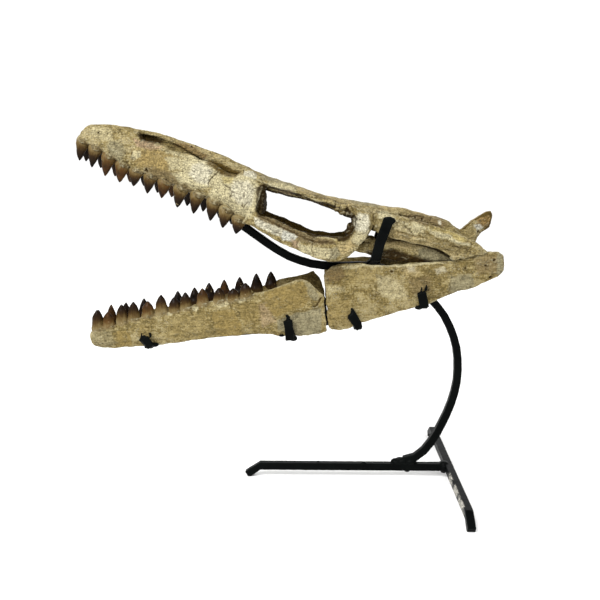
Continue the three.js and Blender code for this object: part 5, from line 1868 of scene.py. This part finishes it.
# ---------------------------------------------------------------- stand
@dataclass
class Stand:
    """The stand: bars, straps and clips, each group fused with the beads that weld it."""

    VOXEL = 0.8
    SOFTEN_ROUNDS = 3
    RIDGE = (0.05, 0.25)  # millimetres that an edge stands out where its paint thins, and is thinnest

    groups: tuple[tuple[str, tuple[str, ...]], ...] = (
        ("stand_frame", ("stand_long_bar", "stand_cross_bar", "stand_post")),
        ("stand_rail", ("stand_jaw_rail",)),
        ("stand_cradle", tuple(f"stand_jaw_strap_{number}" for number in range(1, 5))),
        ("stand_clamps", paired("stand_clamp")),
    )
    beads: dict[str, tuple[Quad, ...]] = field(default_factory=lambda: {
        "stand_frame": (
            (135.5, 0, 19.2, 4.6), (140.5, 1.5, 20.4, 4.2), (144.5, -1.2, 20.6, 4.4),
            (149.5, 1, 21.4, 4.2), (153.5, -2.4, 20, 3.8), (156.5, 0, 17.6, 3.4), (194.5, 4.2, 15.4, 3.6),
            (195, 1.4, 17, 3.4), (194.8, -1.8, 17.2, 3.6), (195, -4.4, 14.8, 3.4),
            (195.5, -4.8, 11.2, 3.2), (194.4, -3, 8.6, 2.6), (149.5, 0, 8.6, 2.6),
            (95.5, -2.4, 17.4, 1.7), (39.5, 1, 17.3, 1.2),
        ),
        "stand_cradle": (
            (-163.5, 0, 167.5, 3), (-162, 2.6, 166.8, 2.4), (6.5, 0, 187.6, 3), (8.5, -2.5, 187, 2.4),
            (84, 0, 202.6, 3), (86, 2.6, 202, 2.4), (158.5, 0, 226.4, 3), (160.5, -2.4, 226, 2.4),
        ),
        "stand_clamps": (
            (100.5, 7, 268, 3.4), (105, 8.6, 268.6, 3), (100.5, -7, 268, 3.4), (97, -8.4, 267.6, 3),
        ),
    })  # x, y, z and radius of each lump of weld
    bead_shape: Triple = (1.25, 1.0, 0.72)
    ends: dict[str, tuple[Lump | Plate, ...]] = field(default_factory=lambda: {
        "stand_cradle": (
            # hooked wire ends over the straps, and the curled feet under them
            Lump((-160, -23.8, 183.2), (0.9, 1.8, 2.2)), Lump((-160.6, -23.8, 185.2), (1.1, 1.8, 1.2)),
            Lump((4.2, -35.9, 207.6), (1.0, 1.8, 2.0)), Lump((2.2, -35.9, 209.8), (1.6, 1.8, 1.1)),
            Lump((77.9, -41.6, 217.6), (1.2, 1.8, 1.6)), Lump((76.7, -41.6, 219.2), (1.1, 1.8, 1.2)),
            Lump((160.2, -47.2, 243.3), (1.4, 1.8, 1.4)), Lump((160.7, -47.2, 246), (0.8, 1.8, 2.4)),
            Lump((-156, -21, 171.4), (4.8, 3, 2.4)), Lump((9.2, -33, 182.6), (4.6, 3, 3.2)),
            Lump((-4.4, -33, 185.8), (3.2, 2, 1.2)), Lump((153, -44, 221.4), (4.2, 2.6, 2)),
            # the flat ends of the straps
            Plate((-163.4, -24.6, 174.8), (8.6, 3, 13.2), -35.6),
            Plate((4.4, -37.2, 192.9), (9.4, 3, 23.4), -4.5),
            Plate((80.5, -42.6, 204.1), (7.8, 3, 19), -36.5),
            Plate((157.3, -48.2, 230.5), (9.9, 3, 16.7), -12.6),
            # black lumps in the gap between the jaw's bones, put there as painted shade to darken the gap
            Lump((45.4, -29, 223), (2, 3.6, 8.6)), Lump((46.4, -29, 212), (2, 3.6, 8.6)),
            Lump((47.6, -29, 203), (1.8, 3.6, 5.6)),
        ),
        "stand_clamps": (
            Lump((116, -49.5, 323), (5.5, 3, 2.6)), Lump((120.5, -49.5, 321), (3.6, 3, 3.4)),
            Lump((122, 49.5, 321.3), (5.5, 3, 2.6)), Lump((126.5, 49.5, 319.3), (3.6, 3, 3.4)),
        ),
    })
    swell: dict[str, float] = field(default_factory=lambda: {
        "stand_frame": 0.9, "stand_rail": 0.1, "stand_cradle": 0.4, "stand_clamps": 0.15,
    })
    scuff: Outline = ((193.0, -34.0), (192.8, -132.0))  # the rubbed line along the cross bar, x and y
    scuff_width: Pair = (1.7, 0.4)  # from its middle, where it starts and is full
    scuff_height: Pair = (8.0, 10.5)
    base_top: float = 40.0  # no part of the base is higher
    waves: Pair = (0.1, 6.0)  # how far the paint stands up and down, over what size
    stipple: Pair = (0.05, 1.8)

    def build(self, paint: bpy.types.Material) -> None:
        """Fuse, soften and paint each group."""
        for name, nodes in self.groups:
            beads = self.beads.get(name, ())
            welds = (Lump(spot[:3], tuple(spot[3] * share for share in self.bead_shape)) for spot in beads)
            added = [piece.build() for piece in (*welds, *self.ends.get(name, ()))]
            solids = [copy_of(node) for node in nodes] + added
            skin = Skin(cast(name, solids, self.VOXEL, self.swell[name]))
            skin.ease(self.SOFTEN_ROUNDS)
            (wave, length), (dot, size) = self.waves, self.stipple
            uneven = wave * layered_noise(skin.points, length, 71)
            skin.push(uneven + dot * lattice_noise(skin.points, size, 73))
            skin.points[:, 2] = np.maximum(skin.points[:, 2], 0.0)  # nothing under the floor
            self.wear(skin)
            skin.normals()
            show(skin.piece, paint, nodes)

    def wear(self, skin: Skin) -> None:
        """Mark where the paint is rubbed through and where it is thin over an edge."""
        ridge = ramp(-skin.hollow(self.SOFTEN_ROUNDS), *self.RIDGE)
        x, y, height = skin.points.T
        away = line_distance(np.stack([x - CAD_SHIFT, y], axis=1), self.scuff)
        rubbed = ramp(away, *self.scuff_width) * ramp(height, *self.scuff_height) * (height < self.base_top)
        rubbed *= ramp(lattice_noise(skin.points, 7.0, 75), -0.5, 0.1)
        none, full = np.zeros(skin.count), np.ones(skin.count)
        skin.paint("wear", np.stack([rubbed, ridge, none, full], axis=1))


# ---------------------------------------------------------------- studio
@dataclass
class Studio:
    """White paper floor, soft lamps and the camera."""

    eye: Triple = (0.03399, -0.94547, 0.38769)  # where the camera stands, metres
    down: float = 9.926  # degrees that it looks down and turns aside
    yaw: float = 1.058
    lens: float = 48.0
    sensor: float = 36.0
    world_strength: float = 1.1
    lamps: tuple[tuple[str, Triple, float, float], ...] = (
        ("key", (-0.75, -1.15, 1.55), 0.9, 36.0),
        ("fill", (1.5, -1.0, 0.9), 1.2, 3.0),
        ("rear", (0.3, 1.5, 1.5), 1.2, 6.0),
    )  # place, size in metres, power in watts
    aim: Triple = (0.0, 0.0, 0.26)  # where the lamps point
    paper_size: float = 60.0

    def build(self) -> None:
        """Lay the floor, hang the lamps and set up the camera."""
        self.lay_floor()
        self.light()
        self.set_camera()
        bpy.context.scene.view_settings.view_transform = "Standard"

    def lay_floor(self) -> None:
        """Lay the paper."""
        deselect()
        bpy.ops.mesh.primitive_plane_add(size=self.paper_size)
        floor = bpy.context.object
        floor.name = "studio_floor"
        floor.data.materials.append(StudioPaper().build())

    def light(self) -> None:
        """Light the model from a white room and from soft round lamps."""
        world = bpy.data.worlds.new("white studio")
        world.use_nodes = True
        background = world.node_tree.nodes["Background"]
        background.inputs["Color"].default_value = (1.0, 1.0, 1.0, 1.0)
        background.inputs["Strength"].default_value = self.world_strength
        bpy.context.scene.world = world
        for name, place, size, power in self.lamps:
            lamp = bpy.data.lights.new(name, "AREA")
            lamp.shape, lamp.size, lamp.energy = "DISK", size, power
            turn = (Vector(self.aim) - Vector(place)).to_track_quat("-Z", "Y").to_euler()
            self.hold(lamp, place, turn)

    def set_camera(self) -> None:
        """Stand the camera where it looks a little down at the model's left side."""
        camera = bpy.data.cameras.new("camera")
        camera.lens, camera.sensor_width = self.lens, self.sensor
        turn = (math.radians(90 - self.down), 0, math.radians(self.yaw))
        bpy.context.scene.camera = self.hold(camera, self.eye, turn)

    @staticmethod
    def hold(
        tool: bpy.types.Light | bpy.types.Camera, place: Triple, turn: Sequence[float]
    ) -> bpy.types.Object:
        """Put a lamp or a camera in the scene.

        Args:
            tool: The lamp or camera.
            place: Where it stands, in metres.
            turn: Its rotation.

        Returns:
            The object that holds it.
        """
        holder = bpy.data.objects.new(tool.name, tool)
        holder.location, holder.rotation_euler = place, turn
        bpy.context.scene.collection.objects.link(holder)
        return holder


def main() -> None:
    """Build the model's looks in order, then the studio."""
    logging.basicConfig(level=logging.INFO, format="%(name)s: %(message)s")
    skull, jaws = Skull(), LowerJaws()
    skull.build(FossilBone("skull bone, mineralised, plaster repairs", fibre_pitch=16.0).build())
    ground = ("#7C6D43", "#9A8655", "#AF9E6C", "#C5B588")
    name = "jaw bone, mineralised, plaster repairs"
    jaws.build(FossilBone(name, fibre_pitch=-9.0, ground=ground, grain_depth=0.16, relief=1.6).build())
    ToothRows().build(skull, jaws, ToothEnamel().build())
    Stand().build(PaintedSteel().build())
    Studio().build()


if __name__ == "__main__":
    main()
